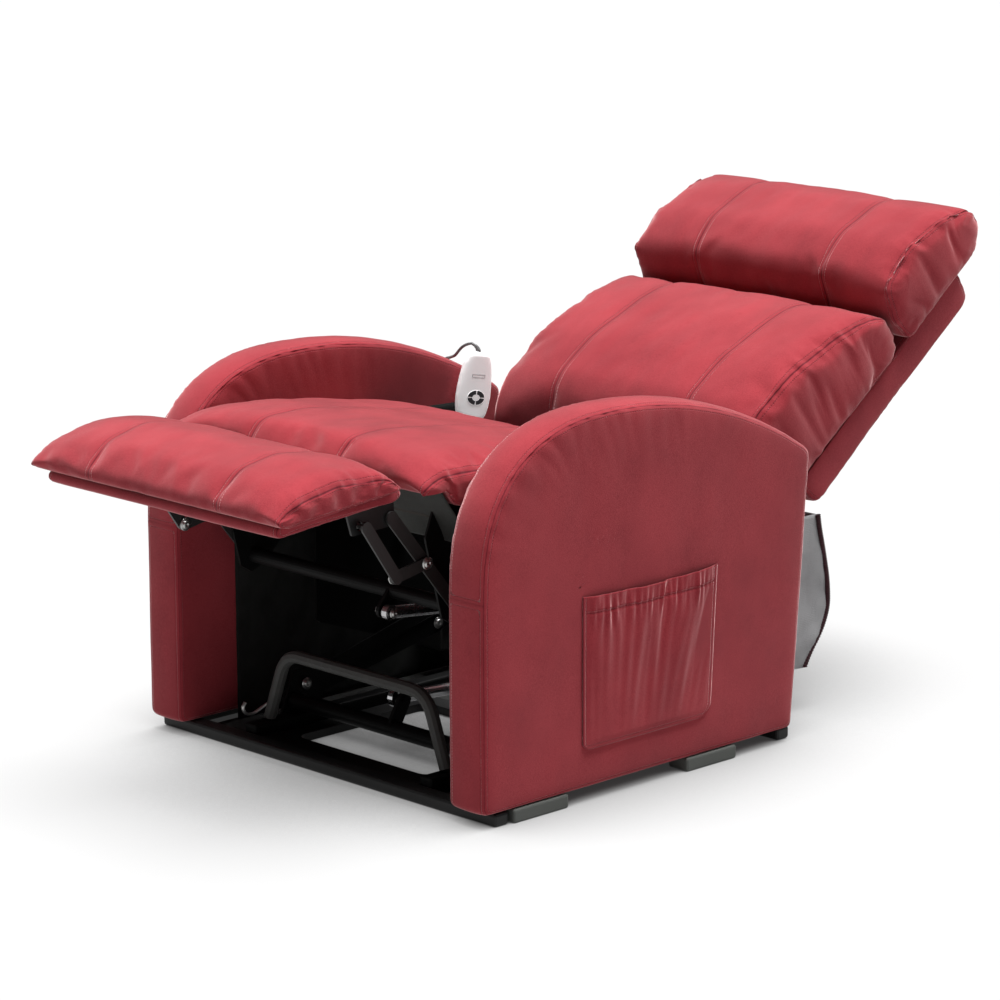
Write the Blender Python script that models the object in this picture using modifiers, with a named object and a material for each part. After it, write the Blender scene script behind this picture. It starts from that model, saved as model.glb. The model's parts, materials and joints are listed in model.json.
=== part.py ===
"""Power riser recliner for patients, modelled reclined with the footrest out.

Metres, +Z up. The sitter faces -Y and the sitter's left is +X. The model's origin
is on the floor, under the middle of the floor frame's rear bar.
"""
import math

import bmesh
import bpy
from mathutils import Vector

# ---- driving dimensions -------------------------------------------------
GAP = 0.0003                    # between two pieces that touch
ORIGIN_SHIFT = -0.022           # brings the rear bar's middle over the origin

ARM_OUTER = 0.360               # half of the overall width
ARM_INNER = 0.283
ARM_BOTTOM = 0.020
ARM_FRONT = -0.345
ARM_CREST = (-0.090, 0.5475)    # highest point of the arm's outline, y and z
ARM_REAR_TOP = (0.309, 0.430)
ARM_REAR_BOTTOM = (0.276, ARM_BOTTOM)

SEAT_HALF = 0.272               # cushions' half widths
BACK_HALF = 0.250
FOOT_HALF = 0.250

RAIL_IN, RAIL_OUT = 0.175, 0.200        # floor rails, across
BRACKET_IN, BRACKET_OUT = 0.2003, 0.2043
GUIDE_IN, GUIDE_OUT = 0.2048, 0.2088
LIFT_IN, LIFT_OUT = 0.2093, 0.2143
SIDE_IN, SIDE_OUT = 0.2150, 0.2190
MECH_IN, MECH_OUT = 0.2110, 0.2147
MAIN_IN, MAIN_OUT = 0.2165, 0.2205
COUPLER_IN, COUPLER_OUT = 0.2210, 0.2250
BAR_IN, BAR_OUT = 0.2255, 0.2295

# Joint centres, y and z, on axes that run across the chair.
LIFT_PIVOT = (-0.200, 0.045)            # lift arms on the floor frame
GUIDE_PIVOT = (-0.178, 0.066)           # guide links on the floor frame
BODY_PIVOT = (0.100, 0.105)             # chair body on the lift arms
GUIDE_TOP = (0.200, 0.160)              # guide links' open pivot on the body
BACK_PIVOT = (0.200, 0.250)
MAIN_PIVOT = (-0.264, 0.275)            # footrest torque tube
BOARD_PIVOT = (-0.384, 0.421)
COUPLER_PIVOT = (-0.3249, 0.3491)
BAR_PIVOT = (-0.383, 0.338)
BAR_TOP = (-0.438, 0.418)               # open pivot on the footrest bracket
CRANK_PIN = (-0.285, 0.250)             # recline actuator on the torque tube
LIFT_PIN = (-0.1775, 0.084)             # lift actuator on its crank
LIFT_MOTOR = (0.235, 0.055)             # lift actuator's rear pin
FRONT_BAR = (0.030, 0.262)
REAR_BAR = (0.265, 0.190)

PIN_RADIUS = 0.005
HOLE_RADIUS = 0.00516                   # running fit on a pin, between faceted rounds
BACK_ANGLE = math.radians(38.1)         # the back's slope above level

HANDSET_MIDDLE = Vector((-0.2667, 0.2335, 0.446))
HANDSET_SIZE = (0.060, 0.106, 0.018)    # width, length, thickness
HANDSET_YAW = math.radians(12.5)        # from facing straight across
HANDSET_LEAN = math.radians(9.5)
PAD_RADII = (0.0150, 0.0112)            # oval of the four buttons
RELIEF_WAY = Vector((-0.53, -0.46, 0.71)).normalized()
RELIEF_LENGTH = 0.008

CORD_RADIUS = 0.0023


# ---- scene and materials ------------------------------------------------
def clear_scene():
    """Remove every object and leave the file open."""
    for obj in list(bpy.data.objects):
        bpy.data.objects.remove(obj, do_unlink=True)


def new_collection(name, hidden=False):
    collection = bpy.data.collections.new(name)
    bpy.context.scene.collection.children.link(collection)
    collection.hide_render = hidden
    return collection


def material(name, color, roughness, metallic=0.0):
    made = bpy.data.materials.new(name)
    made.use_nodes = True
    shader = made.node_tree.nodes["Principled BSDF"]
    shader.inputs["Base Color"].default_value = (*color, 1.0)
    shader.inputs["Roughness"].default_value = roughness
    shader.inputs["Metallic"].default_value = metallic
    made.diffuse_color = (*color, 1.0)
    return made


clear_scene()
PARTS = new_collection("patient_recliner_chair")
CUTTERS = new_collection("cutters", hidden=True)

FINISHES = {
    "suede": ((0.36, 0.035, 0.050), 0.9, 0.0),
    "frame_cloth": ((0.30, 0.028, 0.042), 0.9, 0.0),
    "black_steel": ((0.016, 0.016, 0.017), 0.45, 0.6),
    "grey_steel": ((0.055, 0.055, 0.053), 0.45, 0.6),
    "link_steel": ((0.10, 0.10, 0.10), 0.4, 0.8),
    "black_plastic": ((0.02, 0.02, 0.02), 0.5, 0.0),
    "foot_plastic": ((0.09, 0.10, 0.09), 0.6, 0.0),
    "white_plastic": ((0.85, 0.85, 0.84), 0.35, 0.0),
    "button_rubber": ((0.05, 0.055, 0.06), 0.6, 0.0),
    "rod_chrome": ((0.55, 0.55, 0.56), 0.2, 1.0),
    "plywood": ((0.42, 0.30, 0.17), 0.7, 0.0),
    "dust_cloth": ((0.22, 0.22, 0.22), 0.95, 0.0),
    "grey_rubber": ((0.20, 0.20, 0.20), 0.6, 0.0),
}


def finish(name, kind):
    """A part's own material, from the finish it shares with others."""
    color, roughness, metallic = FINISHES[kind]
    return material(name, color, roughness, metallic)


# ---- bodies, as empties on the joint axes -------------------------------
def world_place(obj):
    """World location of an empty, before the scene updates its matrices."""
    place = Vector()
    while obj:
        place += obj.location
        obj = obj.parent
    return place


def attach(obj, body):
    """Hang a part on its body's empty and leave it where it is."""
    obj.parent = body
    obj.location = obj.location - (world_place(body) - world_place(ROOT))


ROOT = bpy.data.objects.new("chair_root", None)
ROOT.location.y = ORIGIN_SHIFT
PARTS.objects.link(ROOT)


def body_empty(name, centre, parent):
    """centre is (y, z) of an axis that runs across, or a full vector, in the chair's coordinates."""
    place = Vector((0.0, *centre)) if len(centre) == 2 else Vector(centre)
    made = bpy.data.objects.new(name, None)
    PARTS.objects.link(made)
    made.parent = parent
    made.location = place - (world_place(parent) - world_place(ROOT))
    return made


BASE = body_empty("base_body", (0.0, 0.0), ROOT)
LIFT = body_empty("lift_body", LIFT_PIVOT, BASE)
GUIDE = body_empty("guide_body", GUIDE_PIVOT, BASE)
CHAIR = body_empty("chair_body", BODY_PIVOT, LIFT)
SEAT = body_empty("seat_body", (0.0, 0.0), CHAIR)
BACK = body_empty("back_body", BACK_PIVOT, CHAIR)
MAIN = body_empty("footrest_link_body", MAIN_PIVOT, SEAT)
COUPLER = body_empty("footrest_coupler_body", COUPLER_PIVOT, MAIN)
BAR = body_empty("footrest_bar_body", BAR_PIVOT, COUPLER)
BOARD = body_empty("footrest_body", BOARD_PIVOT, MAIN)
LIFT_HOUSING = body_empty("lift_actuator_body", LIFT_MOTOR, BASE)
LIFT_ROD = body_empty("lift_rod_body", LIFT_PIN, LIFT_HOUSING)
RECLINE_HOUSING = body_empty("recline_actuator_body", REAR_BAR, SEAT)
RECLINE_ROD = body_empty("recline_rod_body", CRANK_PIN, RECLINE_HOUSING)


# ---- shapes -------------------------------------------------------------
def as_mesh(obj, name, collection):
    """Replace an evaluated object with a plain mesh object, its caps welded."""
    bpy.context.view_layer.update()
    graph = bpy.context.evaluated_depsgraph_get()
    mesh = bpy.data.meshes.new_from_object(obj.evaluated_get(graph))
    cage = bmesh.new()
    cage.from_mesh(mesh)
    bmesh.ops.remove_doubles(cage, verts=cage.verts, dist=0.00002)
    bmesh.ops.dissolve_degenerate(cage, edges=cage.edges, dist=0.00001)
    bmesh.ops.recalc_face_normals(cage, faces=cage.faces)
    cage.to_mesh(mesh)
    cage.free()
    made = bpy.data.objects.new(name, mesh)
    made.matrix_world = obj.matrix_world
    bpy.data.objects.remove(obj, do_unlink=True)
    collection.objects.link(made)
    return made


def circle(centre, radius, count=16):
    steps = (2 * math.pi * i / count for i in range(count))
    return [(centre[0] + radius * math.cos(a), centre[1] + radius * math.sin(a)) for a in steps]


def capsule(start, end, radius, count=7):
    """Outline of a straight link with round ends."""
    along = math.atan2(end[1] - start[1], end[0] - start[0])
    points = []
    for centre, turn in ((end, along - math.pi / 2), (start, along + math.pi / 2)):
        for i in range(count):
            angle = turn + math.pi * i / (count - 1)
            points.append((centre[0] + radius * math.cos(angle), centre[1] + radius * math.sin(angle)))
    return points


def rounded(corners, radius, count=4):
    """A polygon's outline with each corner turned into an arc."""
    points = []
    total = len(corners)
    for i, corner in enumerate(corners):
        here = Vector(corner)
        before = (Vector(corners[i - 1]) - here).normalized()
        after = (Vector(corners[(i + 1) % total]) - here).normalized()
        half = before.angle(after) / 2
        reach = radius / math.tan(half)
        middle = here + (before + after).normalized() * (radius / math.sin(half))
        first, last = here + before * reach - middle, here + after * reach - middle
        sweep = first.angle_signed(last)
        for k in range(count + 1):
            angle = math.atan2(first.y, first.x) - sweep * k / count
            points.append((middle.x + radius * math.cos(angle), middle.y + radius * math.sin(angle)))
    return points


def flat_shape(name, outline, holes, thickness, edge, collection):
    """A 2D outline with holes, thickened both ways and its rims rounded by edge."""
    data = bpy.data.curves.new(name, "CURVE")
    data.dimensions = "2D"
    data.fill_mode = "BOTH"
    data.extrude = thickness / 2 - edge
    data.bevel_depth = edge
    data.offset = -edge
    data.bevel_resolution = 1
    for loop in (outline, *holes):
        spline = data.splines.new("POLY")
        spline.points.add(len(loop) - 1)
        for point, place in zip(spline.points, loop):
            point.co = (*place, 0.0, 1.0)
        spline.use_cyclic_u = True
    shape = bpy.data.objects.new(name, data)
    collection.objects.link(shape)
    return shape


def side_plate(name, outline, across, body, kind, holes=(), edge=0.0, collection=None):
    """A piece whose outline is in y and z, filling the stretch across, in x."""
    target = collection or PARTS
    low, high = min(across), max(across)
    shape = flat_shape(name + "_curve", outline, holes, high - low, edge, target)
    shape.rotation_euler = (math.pi / 2, 0.0, math.pi / 2)
    shape.location = ((low + high) / 2, 0.0, 0.0)
    return own(as_mesh(shape, name, target), name, body, kind)


def floor_plate(name, outline, heights, body, kind, holes=(), edge=0.0, collection=None):
    """A piece whose outline is in x and y, filling the heights, in z."""
    target = collection or PARTS
    low, high = heights
    shape = flat_shape(name + "_curve", outline, holes, high - low, edge, target)
    shape.location = (0.0, 0.0, (low + high) / 2)
    return own(as_mesh(shape, name, target), name, body, kind)


def own(obj, name, body, kind):
    """Freeze the turn into the mesh, then give the part its material and body."""
    turn = obj.matrix_basis.to_3x3().to_4x4()
    obj.data.transform(turn)
    obj.rotation_euler = (0.0, 0.0, 0.0)
    obj.scale = (1.0, 1.0, 1.0)
    if kind:
        obj.data.materials.clear()
        obj.data.materials.append(finish(name, kind))
    if body:
        attach(obj, body)
    return obj


def box(name, x, y, z, body, kind, edge=0.0, collection=None):
    """A box between its x, y and z limits, with its edges bevelled."""
    cage = bmesh.new()
    bmesh.ops.create_cube(cage, size=1.0)
    size = Vector((x[1] - x[0], y[1] - y[0], z[1] - z[0]))
    bmesh.ops.scale(cage, vec=size, verts=cage.verts)
    mesh = bpy.data.meshes.new(name)
    cage.to_mesh(mesh)
    cage.free()
    made = bpy.data.objects.new(name, mesh)
    (collection or PARTS).objects.link(made)
    made.location = ((x[0] + x[1]) / 2, (y[0] + y[1]) / 2, (z[0] + z[1]) / 2)
    if edge:
        bevel = made.modifiers.new("edges", "BEVEL")
        bevel.width = edge
        bevel.segments = 2
    return own(made, name, body, kind)


def cylinder(name, start, end, radius, body, kind, sides=20, tip_radius=None, collection=None):
    """A round bar, or a cone to tip_radius, between two points."""
    start, end = Vector(start), Vector(end)
    axis = end - start
    cage = bmesh.new()
    bmesh.ops.create_cone(cage, cap_ends=True, segments=sides, radius1=radius,
                          radius2=radius if tip_radius is None else tip_radius, depth=axis.length)
    mesh = bpy.data.meshes.new(name)
    cage.to_mesh(mesh)
    cage.free()
    made = bpy.data.objects.new(name, mesh)
    (collection or PARTS).objects.link(made)
    mesh.transform(axis.to_track_quat("Z", "Y").to_matrix().to_4x4())
    made.location = (start + end) / 2
    mesh.shade_smooth()
    mesh.set_sharp_from_angle(angle=math.radians(40))
    return own(made, name, body, kind)


def pin(name, centre, across, radius=PIN_RADIUS, sides=16):
    """A pin across the chair, to be joined to the piece that carries it."""
    return cylinder(name, (across[0], *centre), (across[1], *centre), radius, None, None,
                    sides, collection=CUTTERS)


def combine(target, tools, operation="UNION"):
    """Join tools to a part, or cut them from it, with exact Booleans."""
    for tool in tools:
        if tool.parent is None and target.parent is not None:
            tool.parent = ROOT
        tool.hide_render = True
        tool.display_type = "WIRE"
        boolean = target.modifiers.new(tool.name, "BOOLEAN")
        boolean.operation = operation
        boolean.solver = "EXACT"
        boolean.object = tool
    return target


def tube(name, points, radius, body, kind, sides_step=2, collection=None):
    """A round tube along points, with closed ends."""
    data = bpy.data.curves.new(name + "_curve", "CURVE")
    data.dimensions = "3D"
    data.bevel_depth = radius
    data.bevel_resolution = sides_step
    data.use_fill_caps = True
    spline = data.splines.new("POLY")
    spline.points.add(len(points) - 1)
    for point, place in zip(spline.points, points):
        point.co = (*place, 1.0)
    shape = bpy.data.objects.new(name + "_curve", data)
    target = collection or PARTS
    target.objects.link(shape)
    made = own(as_mesh(shape, name, target), name, body, kind)
    made.data.shade_smooth()
    made.data.set_sharp_from_angle(angle=math.radians(50))
    return made


def smooth_route(route, spacing):
    """Points at an even spacing along a smooth curve through the route."""
    knots = [Vector(p) for p in route]
    knots = [2 * knots[0] - knots[1]] + knots + [2 * knots[-1] - knots[-2]]
    fine = []
    for a, b, c, d in zip(knots, knots[1:], knots[2:], knots[3:]):
        for i in range(40):
            t = i / 40
            fine.append(0.5 * (2 * b + (c - a) * t + (2 * a - 5 * b + 4 * c - d) * t * t
                               + (3 * b - a - 3 * c + d) * t ** 3))
    fine.append(knots[-2])
    length = sum((q - p).length for p, q in zip(fine, fine[1:]))
    step = length / round(length / spacing)
    points, gone = [fine[0]], 0.0
    for p, q in zip(fine, fine[1:]):
        run = (q - p).length
        while gone + run >= step * len(points) - 1e-9 and run > 0:
            points.append(p.lerp(q, (step * len(points) - gone) / run))
        gone += run
    points[-1] = fine[-1]
    return points


# ---- floor frame --------------------------------------------------------
def floor_frame():
    box("base_front_tube", (-0.355, 0.355), (-0.324, -0.297), (0.0, 0.0185), BASE, "black_steel", 0.004)
    window = rounded([(-0.139, -0.250), (0.139, -0.250), (0.139, 0.006), (-0.139, 0.006)], 0.016)
    rim = [(-0.1747, -0.2967), (0.1747, -0.2967), (0.1747, 0.038), (-0.1747, 0.038)]
    floor_plate("base_floor_frame", rim, (0.0, 0.012), BASE, "black_steel", [window])
    box("base_rear_tube", (-0.345, 0.345), (0.2583, 0.2840), (0.0, 0.0185), BASE, "black_steel", 0.004)
    corners = [(-0.188, 0.0340), (-0.150, 0.136), (0.150, 0.136), (0.188, 0.0340)]
    path = []
    for i, corner in enumerate(corners):
        if i in (0, 3):
            path.append(corner)
            continue
        here = Vector(corner)
        before = here + (Vector(corners[i - 1]) - here).normalized() * 0.032
        after = here + (Vector(corners[i + 1]) - here).normalized() * 0.032
        for k in range(7):
            t = k / 6
            path.append(before * (1 - t) ** 2 + here * 2 * t * (1 - t) + after * t * t)
    tube("base_u_bar", [(x, -0.258, z) for x, z in path], 0.0095, BASE, "grey_steel", 3)
    for side, sign in (("left", 1), ("right", -1)):
        across = (sign * RAIL_IN, sign * RAIL_OUT)
        box("base_rail_" + side, sorted(across), (-0.2967, 0.258), (0.0, 0.030), BASE, "black_steel", 0.003)
        outline = rounded([(-0.236, 0.001), (-0.140, 0.001), (-0.152, 0.088), (-0.200, 0.088)], 0.010)
        holes = [circle(LIFT_PIVOT, 0.01262, 24), circle(GUIDE_PIVOT, HOLE_RADIUS)]
        side_plate("base_bracket_" + side, outline, (sign * BRACKET_IN, sign * BRACKET_OUT), BASE,
                   "black_steel", holes)
    bracket = side_plate("base_motor_bracket", rounded([(0.214, 0.001), (0.258, 0.001), (0.250, 0.072),
                                                        (0.222, 0.072)], 0.010),
                         (0.0160, 0.0210), BASE, "black_steel")
    combine(bracket, [pin("base_motor_pin", LIFT_MOTOR, (-0.016, 0.0225), 0.008, 20)])


# ---- lift linkage -------------------------------------------------------
def lift_linkage():
    for side, sign in (("left", 1), ("right", -1)):
        arm = side_plate("lift_arm_" + side, capsule(LIFT_PIVOT, BODY_PIVOT, 0.014),
                         (sign * LIFT_IN, sign * LIFT_OUT), LIFT, "black_steel")
        combine(arm, [pin("lift_arm_pin_" + side, BODY_PIVOT, sorted((sign * 0.2130, sign * 0.2215)))])
        guide = side_plate("guide_link_" + side, capsule(GUIDE_PIVOT, GUIDE_TOP, 0.010),
                           (sign * GUIDE_IN, sign * GUIDE_OUT), GUIDE, "black_steel")
        combine(guide, [pin("guide_low_pin_" + side, GUIDE_PIVOT, sorted((sign * 0.1975, sign * 0.2075))),
                        pin("guide_top_pin_" + side, GUIDE_TOP, sorted((sign * 0.2060, sign * 0.2215)))])
    torque = cylinder("lift_torque_tube", (-0.2090, *LIFT_PIVOT), (0.2090, *LIFT_PIVOT), 0.01240,
                      LIFT, "black_steel", 24)
    crank = side_plate("lift_crank", capsule(LIFT_PIVOT, LIFT_PIN, 0.0115), (0.0115, 0.0175), None, None,
                       collection=CUTTERS)
    combine(torque, [crank, pin("lift_crank_pin", LIFT_PIN, (-0.0085, 0.0195))])


def actuator(prefix, rear, front, x, eye_radius, open_radius, housing_length, bodies):
    """A motor with its gearbox on a tube, and the rod that slides out of the tube."""
    housing_body, rod_body = bodies
    rear3, front3 = Vector((x, *rear)), Vector((x, *front))
    along = (front3 - rear3).normalized()
    up = Vector((1, 0, 0)).cross(along)
    up = up if up.z > 0 else -up

    def place(distance, rise=0.0, across=0.0):
        return rear3 + along * distance + up * rise + Vector((across, 0, 0))

    def outline(corners):
        return [(place(d, r).y, place(d, r).z) for d, r in corners]

    housing = cylinder(prefix + "_housing", place(0.030), place(housing_length), 0.0155, housing_body,
                       "black_plastic", 20)
    gearbox = side_plate(prefix + "_gearbox", rounded(outline([(0.026, -0.022), (0.098, -0.022),
                                                               (0.098, 0.022), (0.026, 0.022)]), 0.006),
                         (x - 0.021, x + 0.021), None, None, collection=CUTTERS)
    motor = cylinder(prefix + "_motor", place(0.060, 0, 0.015), place(0.060, 0, 0.088), 0.0195, None, None,
                     20, collection=CUTTERS)
    lug = side_plate(prefix + "_lug", capsule(rear, (place(0.034).y, place(0.034).z), eye_radius + 0.005),
                     (x - 0.012, x + 0.012), None, None, collection=CUTTERS)
    combine(housing, [gearbox, motor, lug])
    bore = cylinder(prefix + "_bore", place(0.100), place(housing_length + 0.010), 0.0095, None, None, 16,
                    collection=CUTTERS)
    eye = cylinder(prefix + "_eye_bore", (x - 0.020, *rear), (x + 0.020, *rear), eye_radius, None, None, 24,
                   collection=CUTTERS)
    combine(housing, [bore, eye], "DIFFERENCE")
    length = (front3 - rear3).length
    rod = cylinder(prefix + "_rod", place(housing_length - 0.085), place(length - 0.008), 0.0090, rod_body,
                   "rod_chrome", 16)
    head = side_plate(prefix + "_rod_head", circle(front, open_radius + 0.005, 20),
                      (x - 0.005, x + 0.005), None, None, collection=CUTTERS)
    combine(rod, [head])
    hole = cylinder(prefix + "_rod_hole", (x - 0.012, *front), (x + 0.012, *front), open_radius, None, None,
                    20, collection=CUTTERS)
    combine(rod, [hole], "DIFFERENCE")


# ---- chair body ---------------------------------------------------------
def arm_outline():
    """Upright front, a full rounded front corner, and a long fall to the rear."""
    crest_y, crest_z = ARM_CREST
    reach, rise = crest_y - ARM_FRONT, 0.235
    points = [(ARM_FRONT, ARM_BOTTOM)]
    for i in range(13):
        angle = math.pi / 2 * i / 12
        points.append((crest_y - reach * math.cos(angle) ** 0.8,
                       crest_z - rise + rise * math.sin(angle) ** 0.8))
    run, drop = ARM_REAR_TOP[0] - crest_y, crest_z - ARM_REAR_TOP[1]
    radius = (run * run + drop * drop) / (2 * drop)
    for i in range(1, 9):
        y = run * i / 8
        points.append((crest_y + y, crest_z - radius + math.sqrt(radius * radius - y * y)))
    points.append(ARM_REAR_BOTTOM)
    return points


def chair_sides():
    for side, sign in (("left", 1), ("right", -1)):
        across = sorted((sign * ARM_INNER, sign * ARM_OUTER))
        side_plate("arm_" + side, arm_outline(), across, CHAIR, "suede", edge=0.009)
        foot_x = sorted((sign * 0.322, sign * 0.3595))
        for end, y in (("front", (-0.291, -0.186)), ("rear", (0.052, 0.155))):
            box("arm_foot_%s_%s" % (end, side), foot_x, y, (0.0, ARM_BOTTOM - GAP), CHAIR, "foot_plastic",
                0.003)
        outline = rounded([(-0.140, 0.150), (0.060, 0.080), (0.220, 0.120), (0.282, 0.160), (0.282, 0.215),
                           (0.220, 0.275), (0.120, 0.290), (0.020, 0.404), (-0.140, 0.404)], 0.010)
        holes = [circle(BODY_PIVOT, HOLE_RADIUS), circle(GUIDE_TOP, 0.0062), circle(BACK_PIVOT, HOLE_RADIUS),
                 circle(FRONT_BAR, 0.0128, 20), circle(REAR_BAR, 0.0128, 20)]
        side_plate("chair_side_plate_" + side, outline, (sign * SIDE_IN, sign * SIDE_OUT), CHAIR,
                   "black_steel", holes)
    half = ARM_INNER - GAP
    cylinder("chair_front_cross_bar", (-half, *FRONT_BAR), (half, *FRONT_BAR), 0.0125, CHAIR,
             "black_steel")
    cylinder("chair_rear_cross_bar", (-half, *REAR_BAR), (half, *REAR_BAR), 0.0125, CHAIR, "black_steel")
    box("control_box", (-0.2795, -0.2225), (0.120, 0.235), (0.052, 0.098), CHAIR, "black_plastic", 0.004)


def pocket():
    """A flat pouch on the left arm, open at its top."""
    face = ARM_OUTER + GAP
    outline = rounded([(-0.163, 0.074), (0.098, 0.074), (0.112, 0.298), (-0.161, 0.298)], 0.016)
    pouch = side_plate("arm_pocket", outline, (face, face + 0.0115), CHAIR, "suede")
    hollow = box("pocket_hollow", (face - 0.004, face + 0.0085), (-0.155, 0.092), (0.086, 0.320), None, None,
                 collection=CUTTERS)
    combine(pouch, [hollow], "DIFFERENCE")


# ---- seat ---------------------------------------------------------------
def seat():
    floor_plate("seat_deck", rounded([(-0.2105, -0.300), (0.2105, -0.300), (0.2105, 0.020), (-0.2105, 0.020)],
                                     0.012), (0.4050, 0.4270), SEAT, "plywood")
    profile = [(-0.374, 0.4615), (-0.322, 0.4575), (-0.305, 0.4275), (0.010, 0.4275), (0.036, 0.440),
               (0.034, 0.458), (-0.020, 0.480), (-0.130, 0.500), (-0.260, 0.508), (-0.345, 0.500),
               (-0.382, 0.478)]
    side_plate("seat_cushion", profile, (-SEAT_HALF, SEAT_HALF), SEAT, "suede", edge=0.008)
    for side, sign in (("left", 1), ("right", -1)):
        outline = rounded([(-0.288, 0.262), (-0.268, 0.250), (-0.240, 0.262), (-0.120, 0.380),
                           (-0.120, 0.4265), (-0.300, 0.4265), (-0.318, 0.380)], 0.006)
        side_plate("seat_mechanism_plate_" + side, outline, (sign * MECH_IN, sign * MECH_OUT), SEAT,
                   "black_steel", [circle(MAIN_PIVOT, HOLE_RADIUS)])


# ---- footrest -----------------------------------------------------------
def footrest():
    torque = cylinder("footrest_torque_tube", (-0.2105, *MAIN_PIVOT), (0.2105, *MAIN_PIVOT), 0.011, MAIN,
                      "grey_steel", 20)
    crank = side_plate("footrest_crank", capsule(MAIN_PIVOT, CRANK_PIN, 0.0105), (0.0860, 0.0920), None,
                       None, collection=CUTTERS)
    combine(torque, [crank, pin("footrest_crank_pin", CRANK_PIN, (0.0840, 0.1120))])
    for side, sign in (("left", 1), ("right", -1)):
        link = side_plate("footrest_link_" + side, capsule(MAIN_PIVOT, BOARD_PIVOT, 0.0095),
                          (sign * MAIN_IN, sign * MAIN_OUT), MAIN, "link_steel",
                          [circle(COUPLER_PIVOT, HOLE_RADIUS)])
        combine(link, [pin("link_low_pin_" + side, MAIN_PIVOT, sorted((sign * 0.2112, sign * 0.2190))),
                       pin("link_top_pin_" + side, BOARD_PIVOT, sorted((sign * 0.2090, sign * 0.2190)))])
        coupler = side_plate("footrest_coupler_" + side, capsule(COUPLER_PIVOT, BAR_PIVOT, 0.0085),
                             (sign * COUPLER_IN, sign * COUPLER_OUT), COUPLER, "link_steel",
                             [circle(BAR_PIVOT, HOLE_RADIUS)])
        combine(coupler, [pin("coupler_pin_" + side, COUPLER_PIVOT, sorted((sign * 0.2150, sign * 0.2235)))])
        bar = side_plate("footrest_bar_" + side, capsule(BAR_PIVOT, BAR_TOP, 0.0085),
                         (sign * BAR_IN, sign * BAR_OUT), BAR, "link_steel")
        combine(bar, [pin("bar_low_pin_" + side, BAR_PIVOT, sorted((sign * 0.2212, sign * 0.2280))),
                      pin("bar_top_pin_" + side, BAR_TOP, sorted((sign * 0.2090, sign * 0.2280)), 0.004)])
        outline = rounded([(-0.462, 0.4390), (-0.452, 0.4060), (-0.374, 0.4090), (-0.3765, 0.4475)], 0.003)
        side_plate("footrest_bracket_" + side, outline, (sign * MECH_IN, sign * MECH_OUT), BOARD,
                   "black_steel", [circle(BOARD_PIVOT, HOLE_RADIUS), circle(BAR_TOP, 0.0062)])
    slope = (0.452 - 0.433) / 0.220

    def rest(y, rise):
        return (y, 0.452 + (y + 0.385) * slope + rise)

    board = [rest(-0.610, 0.0), rest(-0.388, 0.0), rest(-0.388, 0.0165), rest(-0.612, 0.0165)]
    side_plate("footrest_board", rounded(board, 0.004), (-0.245, 0.245), BOARD, "frame_cloth")
    top = [rest(-0.618, 0.0170), rest(-0.402, 0.0170), rest(-0.401, 0.030), rest(-0.430, 0.056),
           rest(-0.520, 0.074), rest(-0.590, 0.064), rest(-0.632, 0.036)]
    side_plate("footrest_cushion", top, (-FOOT_HALF, FOOT_HALF), BOARD, "suede", edge=0.007)


# ---- back ---------------------------------------------------------------
def on_back(along, out):
    """y and z of a point along the back's slope, and out from it towards the sitter."""
    cos, sin = math.cos(BACK_ANGLE), math.sin(BACK_ANGLE)
    return (BACK_PIVOT[0] + along * cos - out * sin, BACK_PIVOT[1] + along * sin + out * cos)


def back():
    frame = [on_back(0.231, -0.107), on_back(0.668, -0.107), on_back(0.674, -0.052), on_back(0.220, -0.052)]
    side_plate("back_frame", rounded(frame, 0.010), (-BACK_HALF, BACK_HALF), BACK, "frame_cloth", edge=0.006)
    cushion = [on_back(0.150, -0.022), on_back(0.492, -0.027), on_back(0.508, 0.010), on_back(0.500, 0.046),
               on_back(0.420, 0.082), on_back(0.300, 0.112), on_back(0.210, 0.118), on_back(0.155, 0.085),
               on_back(0.140, 0.020)]
    side_plate("back_cushion", cushion, (-BACK_HALF, BACK_HALF), BACK, "suede", edge=0.010)
    head = [on_back(0.520, -0.050), on_back(0.715, -0.050), on_back(0.745, -0.020), on_back(0.742, 0.015),
            on_back(0.690, 0.048), on_back(0.600, 0.072), on_back(0.530, 0.062), on_back(0.512, 0.0)]
    side_plate("headrest_cushion", head, (-BACK_HALF, BACK_HALF), BACK, "suede", edge=0.008)
    for side, sign in (("left", 1), ("right", -1)):
        arm = [on_back(-0.012, -0.016), on_back(0.012, -0.018), on_back(0.300, -0.0512),
               on_back(0.440, -0.0512), on_back(0.440, -0.0300), on_back(0.120, -0.0260),
               on_back(0.014, 0.014), on_back(-0.012, 0.014)]
        hinge = side_plate("back_hinge_arm_" + side, rounded(arm, 0.004),
                           (sign * LIFT_IN, sign * LIFT_OUT), BACK, "black_steel")
        combine(hinge, [pin("back_hinge_pin_" + side, BACK_PIVOT, sorted((sign * 0.2130, sign * 0.2215)))])
    cover = [(0.455, 0.297), (0.448, 0.262), (0.462, 0.225), (0.468, 0.180), (0.455, 0.130), (0.428, 0.088),
             (0.408, 0.066)]
    wall = cover + [(y - 0.004, z + 0.001) for y, z in reversed(cover)]
    side_plate("rear_dust_cover", wall, (-0.262, 0.262), CHAIR, "dust_cloth")


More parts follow.
